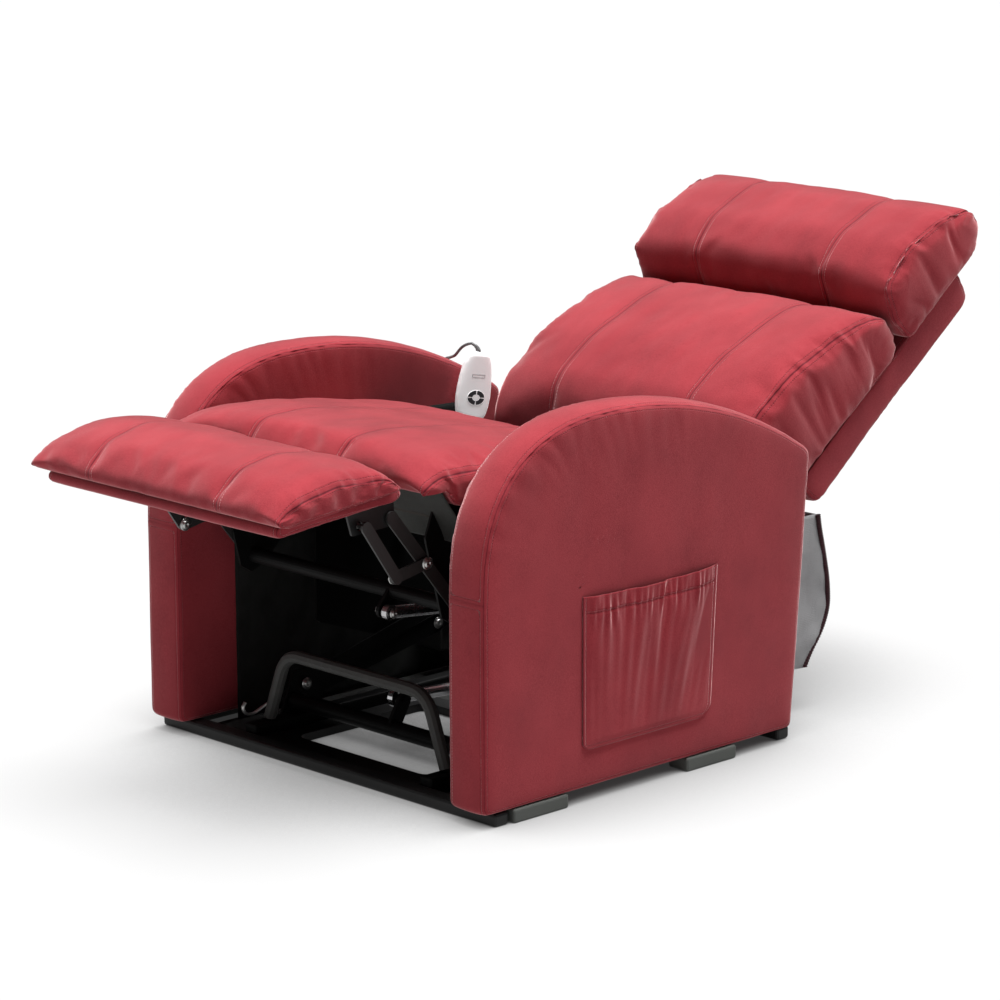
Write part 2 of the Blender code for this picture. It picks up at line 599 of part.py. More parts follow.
# ---- handset ------------------------------------------------------------
def handset():
    """The hand control hangs between the right arm and the back."""
    width, length, thick = HANDSET_SIZE
    outward = Vector((math.cos(HANDSET_YAW), -math.sin(HANDSET_YAW), 0.0))
    level = Vector((0, 0, 1)).cross(outward)
    upward = (Vector((0, 0, 1)) * math.cos(HANDSET_LEAN) + level * math.sin(HANDSET_LEAN)).normalized()
    level = upward.cross(outward).normalized()

    def place(x, y, out):
        return HANDSET_MIDDLE + level * x + upward * y + outward * out

    def lay(obj, out):
        """Stand a flat shape up in the handset's plane."""
        turn = level.to_track_quat("X", "Z").to_matrix().to_4x4()
        for i, axis in enumerate((level, upward, outward)):
            for k in range(3):
                turn[k][i] = axis[k]
        obj.matrix_world = turn
        obj.location = HANDSET_MIDDLE + outward * out
        return obj

    half, low, high = width / 2, -length / 2, length / 2
    right = [(0.60 * half, low), (0.84 * half, low + 0.010), (half, low + 0.036),
             (0.90 * half, high - 0.034), (0.76 * half, high - 0.015), (0.50 * half, high)]
    corners = right + [(-x, y) for x, y in reversed(right)]
    shape = lay(flat_shape("handset_curve", rounded(corners, 0.006, 3), [], thick, 0.004, PARTS), 0.0)
    shell = own(as_mesh(shape, "handset_shell", PARTS), "handset_shell", CHAIR, "white_plastic")
    pad_y, face = low + 0.036, thick / 2
    wide, tall = PAD_RADII
    oval = [(x * (wide + 0.0005), pad_y + y * (tall + 0.0005)) for x, y in circle((0, 0), 1.0, 32)]
    shape = lay(flat_shape("pad_curve", oval, [], 0.0062, 0.0, CUTTERS), face + 0.0009)
    combine(shell, [own(as_mesh(shape, "pad_recess", CUTTERS), "pad_recess", None, None)], "DIFFERENCE")
    for i, name in enumerate(("upper_right", "upper_left", "lower_left", "lower_right")):
        middle = math.pi / 4 + math.pi / 2 * i
        spread = math.radians(40)
        sector = []
        for share, sign in ((1.0, 1), (0.46, -1)):
            for k in range(7):
                angle = middle + sign * spread * (k - 3) / 3
                sector.append((share * wide * math.cos(angle), pad_y + share * tall * math.sin(angle)))
        top = face + 0.0008
        button = lay(flat_shape("button_curve", sector, [], 0.0018, 0.0, PARTS), top - 0.0009)
        body = body_empty("button_body_" + name, place(0, pad_y, top), CHAIR)
        own(as_mesh(button, "handset_button_" + name, PARTS), "handset_button_" + name, body,
            "button_rubber")
    relief_low = place(0, high + 0.0036, -0.001)
    relief_top = relief_low + RELIEF_WAY * RELIEF_LENGTH
    cylinder("handset_strain_relief", relief_low, relief_top, 0.0042, CHAIR, "grey_rubber", 14, 0.0031)
    cord_run(relief_top + RELIEF_WAY * 0.001)


def cord_run(start):
    """The handset's cord goes over the right arm and back round its rear edge."""
    outside = -(ARM_OUTER + 0.0045)
    route = [start, start + RELIEF_WAY * 0.004, (-0.2745, 0.2345, 0.5112),
             (-0.283, 0.2322, 0.5085), (-0.293, 0.2309, 0.5020),
             (-0.306, 0.2315, 0.4895), (-0.319, 0.238, 0.4845), (-0.334, 0.2455, 0.4795),
             (-0.350, 0.250, 0.4740), (outside, 0.252, 0.456), (outside - 0.003, 0.254, 0.430),
             (outside, 0.260, 0.380), (outside, 0.270, 0.300), (outside, 0.284, 0.200),
             (outside + 0.010, 0.300, 0.140), (-0.315, 0.306, 0.105), (-0.272, 0.290, 0.085),
             (-0.251, 0.262, 0.076), (-0.251, 0.2354, 0.075)]
    tube("handset_cord", smooth_route(route, 0.0090), CORD_RADIUS, CHAIR, "grey_rubber", 2)


floor_frame()
lift_linkage()
actuator("lift_actuator", LIFT_MOTOR, LIFT_PIN, 0.0, 0.00808, 0.0096, 0.250, (LIFT_HOUSING, LIFT_ROD))
chair_sides()
pocket()
seat()
footrest()
actuator("recline_actuator", REAR_BAR, CRANK_PIN, 0.104, 0.01262, 0.0062, 0.330,
         (RECLINE_HOUSING, RECLINE_ROD))
back()
handset()
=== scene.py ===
"""Looks of the power riser recliner: upholstery, cloths, steel, plastics and the hand control.
"""
import json
import math

import bmesh
import bpy
import numpy as np
from mathutils import Matrix, Vector, noise


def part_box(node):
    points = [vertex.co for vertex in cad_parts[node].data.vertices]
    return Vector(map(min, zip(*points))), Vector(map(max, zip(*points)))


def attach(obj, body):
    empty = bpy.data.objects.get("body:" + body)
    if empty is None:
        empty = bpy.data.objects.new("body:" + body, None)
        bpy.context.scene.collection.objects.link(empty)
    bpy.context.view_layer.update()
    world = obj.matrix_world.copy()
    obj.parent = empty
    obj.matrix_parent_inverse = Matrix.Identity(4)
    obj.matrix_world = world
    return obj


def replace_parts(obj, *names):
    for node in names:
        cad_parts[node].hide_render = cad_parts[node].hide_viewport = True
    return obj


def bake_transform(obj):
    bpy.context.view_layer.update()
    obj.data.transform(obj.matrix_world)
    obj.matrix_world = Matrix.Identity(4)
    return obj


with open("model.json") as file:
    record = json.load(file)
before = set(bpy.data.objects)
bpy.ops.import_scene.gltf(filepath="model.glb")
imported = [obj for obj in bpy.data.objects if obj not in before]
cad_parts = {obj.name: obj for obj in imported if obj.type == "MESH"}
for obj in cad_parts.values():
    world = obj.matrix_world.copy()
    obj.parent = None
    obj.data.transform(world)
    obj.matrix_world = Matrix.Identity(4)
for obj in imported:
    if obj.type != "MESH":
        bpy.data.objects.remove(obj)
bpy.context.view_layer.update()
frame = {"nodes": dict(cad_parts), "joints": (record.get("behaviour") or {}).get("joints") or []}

NODES = frame["nodes"]

# ---- camera -------------------------------------------------------------
AIM = Vector((0.179, -0.164, 0.400))
VIEW_AZIMUTH = math.radians(46.06)
VIEW_ELEVATION = math.radians(13.03)
VIEW_ROLL = math.radians(-0.25)
VIEW_DISTANCE = 5.6
LENS = 144.0

# ---- upholstery ---------------------------------------------------------
GRID = 0.0095                   # spacing of a form's mesh before it is subdivided
SEAM_STRIP = 0.0022             # width of the strip of mesh beside each seam
CAP_SHRINK = 0.86               # how far a side face's rings shrink toward its middle line
SIM_FRAMES = 20
SIM_PRESSURE = 4.0
SIM_SPARE = 0.03                # the cloth is this share larger than its form
STITCH_PITCH = 0.0042
STITCH_ROW = 0.0062             # distance of the stitches from their seam
STITCH_SHARE = 0.60             # how much of the pitch a stitch fills
ARM_SEAM_INSET = 0.0035         # the arms' faces stand proud of their seams by this
ARM_CROSS_SEAM_Z = 0.315        # the arm's band is pieced at this height,
ARM_FRONT_Y = -0.30             # in front of this place
BACK_ANGLE = math.radians(38.1)
NOSE_Y = (-0.350, -0.328)       # the seat's underside rises between these places to clear the footrest
NOSE_Z = 0.4578

SUEDE_DARK = (0.186, 0.0142, 0.0205, 1.0)
SUEDE_LIGHT = (0.272, 0.0265, 0.0345, 1.0)
NAP_COLOR = (0.60, 0.10, 0.12, 1.0)
# colour of the stitches and seam lines, and of the painted shade beside the seams
SEAM_AND_SHADE_COLOR = (0.070, 0.004, 0.010, 1.0)
CORD_RADIUS = 0.0023
CRANK_PIN = (-0.307, 0.250)     # y and z of the pin that the recline actuator holds

# ---- light --------------------------------------------------------------
KEY_FROM = Vector((0.03, 0.15, 1.0))
KEY_STRENGTH = 8.4
KEY_ANGLE = math.radians(38.0)
WORLD_STRENGTH = 0.07           # above the white band at the horizon
HORIZON_BAND = (0.05, 0.12)     # the band fades between these heights of the direction
FLOOR_ALBEDO = 0.10
FLOOR_GLOW = 0.76               # keeps the open floor as white as the surroundings
# painted shadow: things nearer than FLOOR_SHADE_REACH dim the floor's glow
FLOOR_SHADE_REACH = 0.52        # things nearer than this dim the floor's glow
FLOOR_RADIUS = 60.0


def add_object(name, data):
    """A new object in the scene."""
    made = bpy.data.objects.new(name, data)
    bpy.context.scene.collection.objects.link(made)
    return made


def camera():
    """The photograph's viewpoint: long lens, a little above the arms."""
    back = Vector((math.sin(VIEW_AZIMUTH) * math.cos(VIEW_ELEVATION),
                   -math.cos(VIEW_AZIMUTH) * math.cos(VIEW_ELEVATION), math.sin(VIEW_ELEVATION)))
    right = Vector((0, 0, 1)).cross(back).normalized()
    turn = Matrix((right, back.cross(right), back)).transposed()
    lens = bpy.data.cameras.new("camera")
    lens.lens = LENS
    lens.clip_end = 200.0
    made = add_object("camera", lens)
    made.rotation_euler = (turn @ Matrix.Rotation(VIEW_ROLL, 3, "Z")).to_euler()
    made.location = AIM + back * VIEW_DISTANCE
    bpy.context.scene.camera = made


# ---- meshes -------------------------------------------------------------
def add_mesh(name, points, faces, material, body):
    """A mesh object on a body, with its faces pointing out."""
    mesh = bpy.data.meshes.new(name)
    mesh.from_pydata([tuple(p) for p in points], [], faces)
    cage = bmesh.new()
    cage.from_mesh(mesh)
    bmesh.ops.recalc_face_normals(cage, faces=cage.faces)
    cage.to_mesh(mesh)
    cage.free()
    mesh.shade_smooth()
    mesh.materials.append(material)
    made = add_object(name, mesh)
    if body:
        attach(made, body)
    return made


def circle(sides):
    """The cosine and sine of each turn round a ring."""
    return [(math.cos(2 * math.pi * i / sides), math.sin(2 * math.pi * i / sides)) for i in range(sides)]


def tube_faces(steps, sides):
    """The faces between steps + 1 rings of points, and one over each end."""
    faces = [(k * sides + i, k * sides + (i + 1) % sides, (k + 1) * sides + (i + 1) % sides,
              (k + 1) * sides + i) for k in range(steps) for i in range(sides)]
    return faces + [tuple(range(sides)), tuple(range(steps * sides, (steps + 1) * sides))]


def apply_modifiers(obj):
    """Bake an object's modifiers into its mesh."""
    graph = bpy.context.evaluated_depsgraph_get()
    mesh = bpy.data.meshes.new_from_object(obj.evaluated_get(graph), preserve_all_data_layers=True,
                                           depsgraph=graph)
    obj.modifiers.clear()
    obj.data = mesh


def subdivide(obj):
    """Round the form over with one level of subdivision."""
    rounder = obj.modifiers.new("rounder", "SUBSURF")
    rounder.levels = rounder.render_levels = 1
    apply_modifiers(obj)


def places(mesh):
    """Where each vertex is, as rows of x, y and z."""
    found = np.zeros(len(mesh.vertices) * 3, np.float32)
    mesh.vertices.foreach_get("co", found)
    return found.reshape(-1, 3).astype(float)


def normals(mesh):
    found = np.zeros(len(mesh.vertices) * 3, np.float32)
    mesh.vertex_normals.foreach_get("vector", found)
    return found.reshape(-1, 3).astype(float)


def put_places(mesh, points):
    mesh.vertices.foreach_set("co", points.astype(np.float32).ravel())
    mesh.update()


def values(mesh, name):
    """A stored number for each vertex."""
    found = np.zeros(len(mesh.vertices), np.float32)
    mesh.attributes[name].data.foreach_get("value", found)
    return found.astype(float)


def put_values(mesh, name, numbers):
    """Store a number for each vertex."""
    layer = mesh.attributes.get(name) or mesh.attributes.new(name, "FLOAT", "POINT")
    layer.data.foreach_set("value", np.asarray(numbers, np.float32))


def ripple(x, y, z):
    """Smooth noise from -1 to 1."""
    return noise.noise(Vector((x, y, z)))


def form_maps(obj):
    """A form's numbers: place across the chair, depth in a side face, run round the outline."""
    return [values(obj.data, name) for name in ("across", "inset", "along")]


def waves(points, scale, seed, mask=None):
    """Smooth noise at each point, only where mask is set."""
    result = np.zeros(len(points))
    chosen = range(len(points)) if mask is None else np.nonzero(mask)[0]
    for i in chosen:
        x, y, z = points[i]
        result[i] = ripple(x * scale[0] + seed, y * scale[1] + seed, z * scale[2])
    return result


# ---- outlines from the CAD nodes ----------------------------------------
def outline_of(node):
    """A CAD plate's outline in y and z, in order round its middle, where it is widest."""
    points = np.array([v.co for v in NODES[node].data.vertices])
    middle = (points[:, 0].min() + points[:, 0].max()) / 2
    level = points[np.argmin(abs(points[:, 0] - middle)), 0]
    ring = points[abs(points[:, 0] - level) < 1e-4][:, 1:]
    ring = np.unique(np.round(ring, 5), axis=0)
    centre = (ring.min(axis=0) + ring.max(axis=0)) / 2
    turn = np.arctan2(ring[:, 1] - centre[1], ring[:, 0] - centre[0])
    return ring[np.argsort(turn)]


def resample(loop, count):
    """The closed loop with count points at an even spacing."""
    closed = np.vstack([loop, loop[:1]])
    run = np.concatenate([[0], np.cumsum(np.linalg.norm(np.diff(closed, axis=0), axis=1))])
    want = np.linspace(0, run[-1], count, endpoint=False)
    return np.stack([np.interp(want, run, closed[:, k]) for k in range(2)], axis=1), run[-1]


def soft_loop(loop, corner, start):
    """The outline with its corners rounded over about corner, begun near the point start."""
    _, length = resample(loop, 8)
    dense = []
    for a, b in zip(loop, np.roll(loop, -1, axis=0)):
        pieces = max(1, int(np.linalg.norm(b - a) / corner))
        dense += [a + (b - a) * k / pieces for k in range(pieces)]
    dense = np.array(dense)
    for _ in range(3):
        after = np.roll(dense, -1, axis=0)
        dense = np.stack([dense * 0.75 + after * 0.25, dense * 0.25 + after * 0.75], axis=1).reshape(-1, 2)
    loop, length = resample(dense, int(length / GRID))
    first = np.argmin(np.linalg.norm(loop - np.array(start), axis=1))
    return np.roll(loop, -first, axis=0), length


# ---- stuffed forms ------------------------------------------------------
def pushed_out(points, centre, reach):
    """Rows of y and z moved away from the centre by reach."""
    out = points - centre
    return points + out / np.maximum(np.linalg.norm(out, axis=1), 1e-6)[:, None] * reach


def at_x(x, points):
    """Rows of y and z with x put before them."""
    return np.stack([np.full(len(points), x), points[:, 0], points[:, 1]], axis=1)


def columns_between(seams):
    """Places across the chair between seams, close together beside each seam."""
    found = []
    for low, high in zip(seams, seams[1:]):
        steps = max(3, round((high - low) / GRID))
        inner = [low + (high - low) * k / steps for k in range(1, steps)]
        found += [low, low + SEAM_STRIP, *inner, high - SEAM_STRIP]
    return found + [seams[-1]]


def form(name, loop, length, columns, rings, place, material):
    """A closed form: the loop swept across the columns, and a cap of shrinking rings on each side.

    place(points, x, inset, side) gives the rows' final places, in x, y and z."""
    count = len(loop)
    centre = (loop.min(axis=0) + loop.max(axis=0)) / 2
    size = loop.max(axis=0) - loop.min(axis=0)
    long_way = 0 if size[0] > size[1] else 1
    reach = (size[long_way] - size[1 - long_way]) * 0.42
    axis = np.zeros(2)
    axis[long_way] = 1.0
    target = centre + np.outer(np.clip((loop - centre) @ axis, -reach, reach), axis)
    away = np.linalg.norm(target - loop, axis=1)
    rows, along, across, inset = [], [], [], []

    def ring(x, depth, side):
        share = CAP_SHRINK * np.tanh(depth / (CAP_SHRINK * away))
        rows.append(place(loop + (target - loop) * share[:, None], x, depth, side))
        along.append(np.arange(count) * length / count)
        across.append(np.full(count, x))
        inset.append(np.full(count, depth))

    for depth in reversed(rings):
        ring(columns[0], depth, -1)
    for x in columns:
        ring(x, 0.0, 0)
    for depth in rings:
        ring(columns[-1], depth, 1)
    faces = tube_faces(len(rows) - 1, count)
    faces[-1] = faces[-1][::-1]
    made = add_mesh(name, np.vstack(rows), faces, material, None)
    cage = bmesh.new()
    cage.from_mesh(made.data)
    bmesh.ops.triangulate(cage, faces=[f for f in cage.faces if len(f.verts) > 4])
    cage.to_mesh(made.data)
    cage.free()
    put_values(made.data, "along", np.concatenate(along))
    put_values(made.data, "across", np.concatenate(across))
    put_values(made.data, "inset", np.concatenate(inset))
    return made


def inflate(obj, held, cap):
    """Blow the form up as cloth, held at its seams, and keep the move under cap."""
    before = places(obj.data)
    group = obj.vertex_groups.new(name="held")
    for i, weight in enumerate(held):
        if weight > 0:
            group.add([i], float(weight), "REPLACE")
    cloth = obj.modifiers.new("cloth", "CLOTH")
    settings = cloth.settings
    settings.quality = 6
    settings.mass = 0.3
    settings.tension_stiffness = settings.compression_stiffness = 18
    settings.shear_stiffness = 8
    settings.bending_stiffness = 0.6
    settings.tension_damping = settings.compression_damping = 8
    settings.air_damping = 3
    settings.vertex_group_mass = "held"
    settings.use_pressure = True
    settings.uniform_pressure_force = SIM_PRESSURE
    settings.shrink_min = -SIM_SPARE
    settings.effector_weights.gravity = 0
    cloth.point_cache.frame_start = 1
    cloth.point_cache.frame_end = SIM_FRAMES
    for step in range(1, SIM_FRAMES + 1):
        bpy.context.scene.frame_set(step)
    apply_modifiers(obj)
    bpy.context.scene.frame_set(1)
    move = places(obj.data) - before
    size = np.linalg.norm(move, axis=1)
    limit = cap * np.tanh(size / cap)
    put_places(obj.data, before + move * (limit / np.maximum(size, 1e-9))[:, None])
    obj.vertex_groups.clear()


def puckers(run, distance, reach, depth, pitch, seed):
    """Height of the small gathers that run square off a seam, deepest beside it."""
    near = distance < reach * 4
    points = np.stack([run / pitch, distance / (reach * 2.2), np.full(len(run), seed)], axis=1)
    folds = waves(points, (1, 1, 1), seed, near)
    ridges = 1.0 - np.abs(folds) * 2.6
    swell = 1.0 + waves(points, (0.22, 0.5, 1), seed + 7, near)
    return np.where(near, -depth * np.exp(-distance / reach) * np.maximum(ridges, -0.6) * swell, 0.0)


def raise_along(obj, heights):
    """Move each vertex along its normal."""
    put_places(obj.data, places(obj.data) + normals(obj.data) * heights[:, None])


# ---- materials ----------------------------------------------------------
class Finish:
    """A material's node tree, with short calls for the nodes that the finishes share."""

    def __init__(self, name, **sockets):
        self.material = bpy.data.materials.new(name)
        self.material.use_nodes = True
        self.tree = self.material.node_tree
        self.shader = self.tree.nodes["Principled BSDF"]
        for socket, value in sockets.items():
            self.shader.inputs[socket.replace("_", " ")].default_value = value
        self.place = self.add("ShaderNodeTexCoord").outputs["Object"]
        self.normal = None

    def add(self, kind, inputs=(), **settings):
        """A new node; its inputs are numbers, colours or other nodes' outputs."""
        node = self.tree.nodes.new(kind)
        for key, value in settings.items():
            setattr(node, key, value)
        for socket, value in dict(inputs).items():
            if isinstance(value, bpy.types.NodeSocket):
                self.tree.links.new(value, node.inputs[socket])
            else:
                node.inputs[socket].default_value = value
        return node

    def noise(self, scale, detail=2.0, stretch=(1, 1, 1), roughness=0.5):
        spot = self.add("ShaderNodeMapping", {"Vector": self.place, "Scale": stretch}).outputs[0]
        return self.add("ShaderNodeTexNoise", {"Vector": spot, "Scale": scale, "Detail": detail,
                                               "Roughness": roughness}).outputs[0]

    def spread(self, value, low, high, start=0.0, end=1.0):
        """Map value from low..high to start..end, clamped."""
        return self.add("ShaderNodeMapRange", {"Value": value, "From Min": low, "From Max": high,
                                               "To Min": start, "To Max": end}).outputs[0]

    def sum(self, operation, first, second=0.0):
        """The result of one arithmetic operation."""
        return self.add("ShaderNodeMath", {0: first, 1: second}, operation=operation).outputs[0]

    def mix(self, factor, first, second):
        """The first colour, going over to the second as factor goes from 0 to 1."""
        return self.add("ShaderNodeMix", {0: factor, 6: first, 7: second}, data_type="RGBA").outputs[2]

    def attribute(self, name):
        return self.add("ShaderNodeAttribute", attribute_name=name).outputs["Fac"]

    def bump(self, height, distance, strength=1.0):
        """Add relief on top of the relief so far."""
        inputs = {"Height": height, "Distance": distance, "Strength": strength}
        if self.normal:
            inputs["Normal"] = self.normal
        self.normal = self.add("ShaderNodeBump", inputs).outputs[0]

    def done(self, color, roughness=None):
        """Join everything to the shader."""
        wanted = {"Base Color": color, "Roughness": roughness, "Normal": self.normal}
        for socket, value in wanted.items():
            if value is not None:
                self.tree.links.new(value, self.shader.inputs[socket])
        return self.material


def rgba(color, share=1.0):
    """A colour for a socket, made darker or brighter by share."""
    return (*[c * share for c in color], 1.0)


def microsuede(name, dark, light):
    """Brushed pile: soft blotches where it lies differently, fine nap, sheen, stitched seams, and painted
    shade beside the seams.
    """
    made = Finish(name, Roughness=0.9, Specular_IOR_Level=0.10, Sheen_Weight=0.76,
                  Sheen_Roughness=0.37, Sheen_Tint=(1.0, 0.62, 0.62, 1.0))
    blotch = made.noise(7.0, 4.0, roughness=0.6)
    brushed = made.noise(26.0, 3.0, (1.0, 0.45, 0.3))
    lie = made.sum("ADD", made.sum("MULTIPLY", blotch, 0.62), made.sum("MULTIPLY", brushed, 0.38))
    color = made.mix(made.spread(lie, 0.36, 0.66), dark, light)
    nap = made.noise(720.0, 2.0)
    color = made.mix(made.spread(nap, 0.30, 0.75, 0.0, 0.20), color, NAP_COLOR)
    flecks = made.noise(240.0, 1.0)
    color = made.mix(made.spread(flecks, 0.58, 0.75, 0.0, 0.28), color, dark)
    away = made.attribute("seam_away")
    dashes = made.sum("FRACT", made.sum("DIVIDE", made.attribute("seam_run"), STITCH_PITCH))
    off_row = made.sum("ABSOLUTE", made.sum("SUBTRACT", away, STITCH_ROW))
    on_row = made.spread(off_row, 0.0004, 0.0011, 1, 0)
    stitch = made.sum("MULTIPLY", on_row, made.sum("LESS_THAN", dashes, STITCH_SHARE))
    color = made.mix(made.sum("MULTIPLY", stitch, 0.45), color, SEAM_AND_SHADE_COLOR)
    line = made.spread(away, 0.0004, 0.0014, 0.85, 0.0)
    # painted shade: the cloth darkens over the 5 mm beside each seam, past the dark seam line
    shade = made.spread(away, 0.0, 0.005, 0.12, 0.0)
    color = made.mix(made.sum("MAXIMUM", line, shade), color, SEAM_AND_SHADE_COLOR)
    made.bump(made.sum("MULTIPLY", stitch, -1.0), 0.0006)
    made.bump(nap, 0.00035, 0.8)
    made.bump(blotch, 0.0012, 0.6)
    return made.done(color, made.spread(brushed, 0.3, 0.7, 0.82, 0.96))


def woven_cloth(name, dark, light, pitch, sheen):
    """Plain lining cloth: crossed threads, with slubs, and soft creases with painted shade in their hollows.
    """
    made = Finish(name, Specular_IOR_Level=0.2, Sheen_Weight=sheen, Sheen_Roughness=0.5)
    threads = []
    for turn in ((0, 0, 0), (0, 0, math.pi / 2), (0, math.pi / 2, 0)):
        spot = made.add("ShaderNodeMapping", {"Vector": made.place, "Rotation": turn}).outputs[0]
        threads.append(made.add("ShaderNodeTexWave", {"Vector": spot, "Scale": 0.31 / pitch,
                                                      "Distortion": 0.6, "Detail": 1.0}).outputs[1])
    crossed = made.sum("MULTIPLY", threads[0], threads[1])
    weave = made.sum("ADD", crossed, made.sum("MULTIPLY", threads[2], 0.5))
    creases_and_shade = made.noise(14.0, 3.0)
    # painted shade: darker in the creases' hollows, lighter on their ridges
    color = made.mix(made.spread(creases_and_shade, 0.3, 0.7), dark, light)
    color = made.mix(made.sum("MULTIPLY", weave, 0.35), color, light)
    made.bump(weave, pitch * 0.4, 0.6)
    made.bump(creases_and_shade, 0.002, 0.5)
    return made.done(color, made.spread(weave, 0.0, 1.0, 0.95, 0.8))


def nonwoven(name, dark, light):
    """Pressed fibre cloth with its grid of weld points."""
    made = Finish(name, Roughness=0.95, Specular_IOR_Level=0.1, Sheen_Weight=0.15)
    cells = made.add("ShaderNodeTexVoronoi", {"Vector": made.place, "Scale": 380.0, "Randomness": 0.25})
    dots = made.spread(cells.outputs["Distance"], 0.1, 0.42)
    fibres = made.noise(520.0, 3.0, (1.0, 0.25, 0.5))
    clouds = made.noise(11.0, 3.0)
    color = made.mix(made.spread(clouds, 0.3, 0.7), dark, light)
    color = made.mix(made.sum("MULTIPLY", fibres, 0.35), color, light)
    color = made.mix(made.spread(dots, 0.0, 1.0, 0.22, 0.0), color, dark)
    made.bump(dots, 0.0004, 0.7)
    made.bump(clouds, 0.003, 0.7)
    return made.done(color)


def painted(name, color, worn, roughness, metallic=0.0, gloss=0.3):
    """Powder coat or paint: orange peel, a film of dust and fine rubbed streaks."""
    made = Finish(name, Metallic=metallic, Specular_IOR_Level=gloss)
    peel = made.noise(420.0, 2.0)
    dust = made.noise(6.0, 3.0)
    streaks = made.noise(60.0, 3.0, (1.0, 0.15, 0.6))
    shade = made.mix(made.spread(dust, 0.3, 0.8, 0.0, 0.5), rgba(color), rgba(worn))
    shade = made.mix(made.spread(streaks, 0.62, 0.80, 0.0, 0.25), shade, rgba(worn, 2.0))
    made.bump(peel, 0.00012, 0.7)
    return made.done(shade, made.spread(dust, 0.3, 0.7, roughness - 0.05, roughness + 0.08))


def bare_steel(name, color, roughness):
    """Drawn or zinc-plated steel with fine lengthwise marks and stains."""
    made = Finish(name, Metallic=1.0, Specular_IOR_Level=0.5)
    marks = made.noise(160.0, 3.0, (1.0, 0.12, 0.12))
    stains = made.noise(34.0, 4.0)
    shade = made.mix(made.spread(stains, 0.35, 0.7, 0.0, 0.5), rgba(color), rgba(color, 0.45))
    shade = made.mix(made.sum("MULTIPLY", marks, 0.25), shade, rgba(color, 1.3))
    made.bump(marks, 0.00015, 0.6)
    return made.done(shade, made.spread(stains, 0.3, 0.7, roughness, roughness + 0.18))


def moulded(name, color, roughness, grain, gloss=0.5, painted_glow=0.0):
    """Moulded plastic or rubber: spark-eroded grain, faint flow marks and scuffs, and a painted glow if one
    is given.
    """
    made = Finish(name, Specular_IOR_Level=gloss, Emission_Color=(1.0, 1.0, 1.0, 1.0),
                  Emission_Strength=painted_glow)
    fine = made.noise(grain, 2.0)
    flow = made.noise(18.0, 3.0, (1.0, 0.5, 2.0))
    scuffs = made.spread(made.noise(75.0, 4.0, (1.0, 0.2, 1.0), 0.7), 0.60, 0.72)
    scuffed = rgba([min(1, c * 1.5 + 0.05) for c in color])
    shade = made.mix(made.spread(flow, 0.3, 0.7, 0.0, 0.16), rgba(color), rgba(color, 0.8))
    shade = made.mix(made.sum("MULTIPLY", scuffs, 0.10), shade, scuffed)
    made.bump(fine, 0.00010, 0.7)
    return made.done(shade, made.spread(flow, 0.3, 0.7, roughness - 0.05, roughness + 0.08))


def birch_ply(name):
    """Plywood darkened near black as painted shade under the seat, its plies and grain still showing."""
    made = Finish(name, Roughness=0.7, Specular_IOR_Level=0.3)
    plies = made.add("ShaderNodeTexWave", {"Vector": made.place, "Scale": 70.0, "Distortion": 1.5,
                                           "Detail": 2.0}, bands_direction="Z").outputs[1]
    grain = made.noise(60.0, 4.0, (1.0, 0.08, 1.0))
    color = made.mix(grain, (0.012, 0.011, 0.010, 1.0), (0.028, 0.025, 0.021, 1.0))
    color = made.mix(made.sum("MULTIPLY", plies, 0.4), color, (0.040, 0.030, 0.020, 1.0))
    made.bump(grain, 0.0004, 0.5)
    return made.done(color)


SUEDE = microsuede("suede", SUEDE_DARK, SUEDE_LIGHT)
FRAME_CLOTH = microsuede("frame_cloth", (0.180, 0.0150, 0.0215, 1), (0.265, 0.0280, 0.0365, 1))
POCKET_CLOTH = microsuede("pocket_cloth", SUEDE_DARK, SUEDE_LIGHT)
# black cloth for the sheets that stand in for the shade inside the body
BLACK_SHADE_CLOTH = woven_cloth("black_shade_cloth", (0.006, 0.006, 0.006, 1), (0.013, 0.013, 0.012, 1), 0.0011, 0.03)
VALANCE_CLOTH = woven_cloth("valance_cloth", (0.016, 0.017, 0.015, 1), (0.028, 0.030, 0.027, 1), 0.0009, 0.08)
DUST_CLOTH = nonwoven("dust_cloth", (0.20, 0.20, 0.205, 1), (0.34, 0.34, 0.345, 1))
ZIP_TAPE = woven_cloth("zip_tape", (0.018, 0.006, 0.008, 1), (0.050, 0.014, 0.019, 1), 0.0010, 0.1)
BLACK_STEEL = painted("black_steel", (0.0060, 0.0060, 0.0062), (0.0095, 0.0095, 0.0092), 0.45)
# painted shade: a near-black, less glossy copy of the black steel for the parts inside the body
SHADED_STEEL = painted("shaded_steel", (0.0025, 0.0025, 0.0026), (0.0045, 0.0045, 0.0044), 0.5, gloss=0.10)
GREY_STEEL = painted("grey_steel", (0.050, 0.050, 0.048), (0.066, 0.066, 0.062), 0.5, gloss=0.2)
LINK_STEEL = painted("link_steel", (0.034, 0.034, 0.034), (0.055, 0.055, 0.053), 0.36, 0.5)
BOLT_STEEL = bare_steel("bolt_steel", (0.46, 0.46, 0.45), 0.26)
ROD_STEEL = bare_steel("rod_steel", (0.52, 0.52, 0.53), 0.14)
BLACK_PLASTIC = moulded("black_plastic", (0.014, 0.014, 0.014), 0.45, 900.0)
FOOT_PLASTIC = moulded("foot_plastic", (0.085, 0.090, 0.083), 0.55, 700.0, 0.3)
# painted glow: the white handset plastic emits light so that it stays white in the seat's shade
WHITE_PLASTIC = moulded("white_plastic", (0.97, 0.97, 0.98), 0.36, 1500.0, painted_glow=0.25)
BUTTON_RUBBER = moulded("button_rubber", (0.060, 0.065, 0.070), 0.6, 1300.0, 0.3)
GREY_RUBBER = moulded("grey_rubber", (0.155, 0.158, 0.160), 0.55, 1100.0, 0.35)
# painted shade: the seat's deck made near black
SHADED_PLYWOOD = birch_ply("plywood")

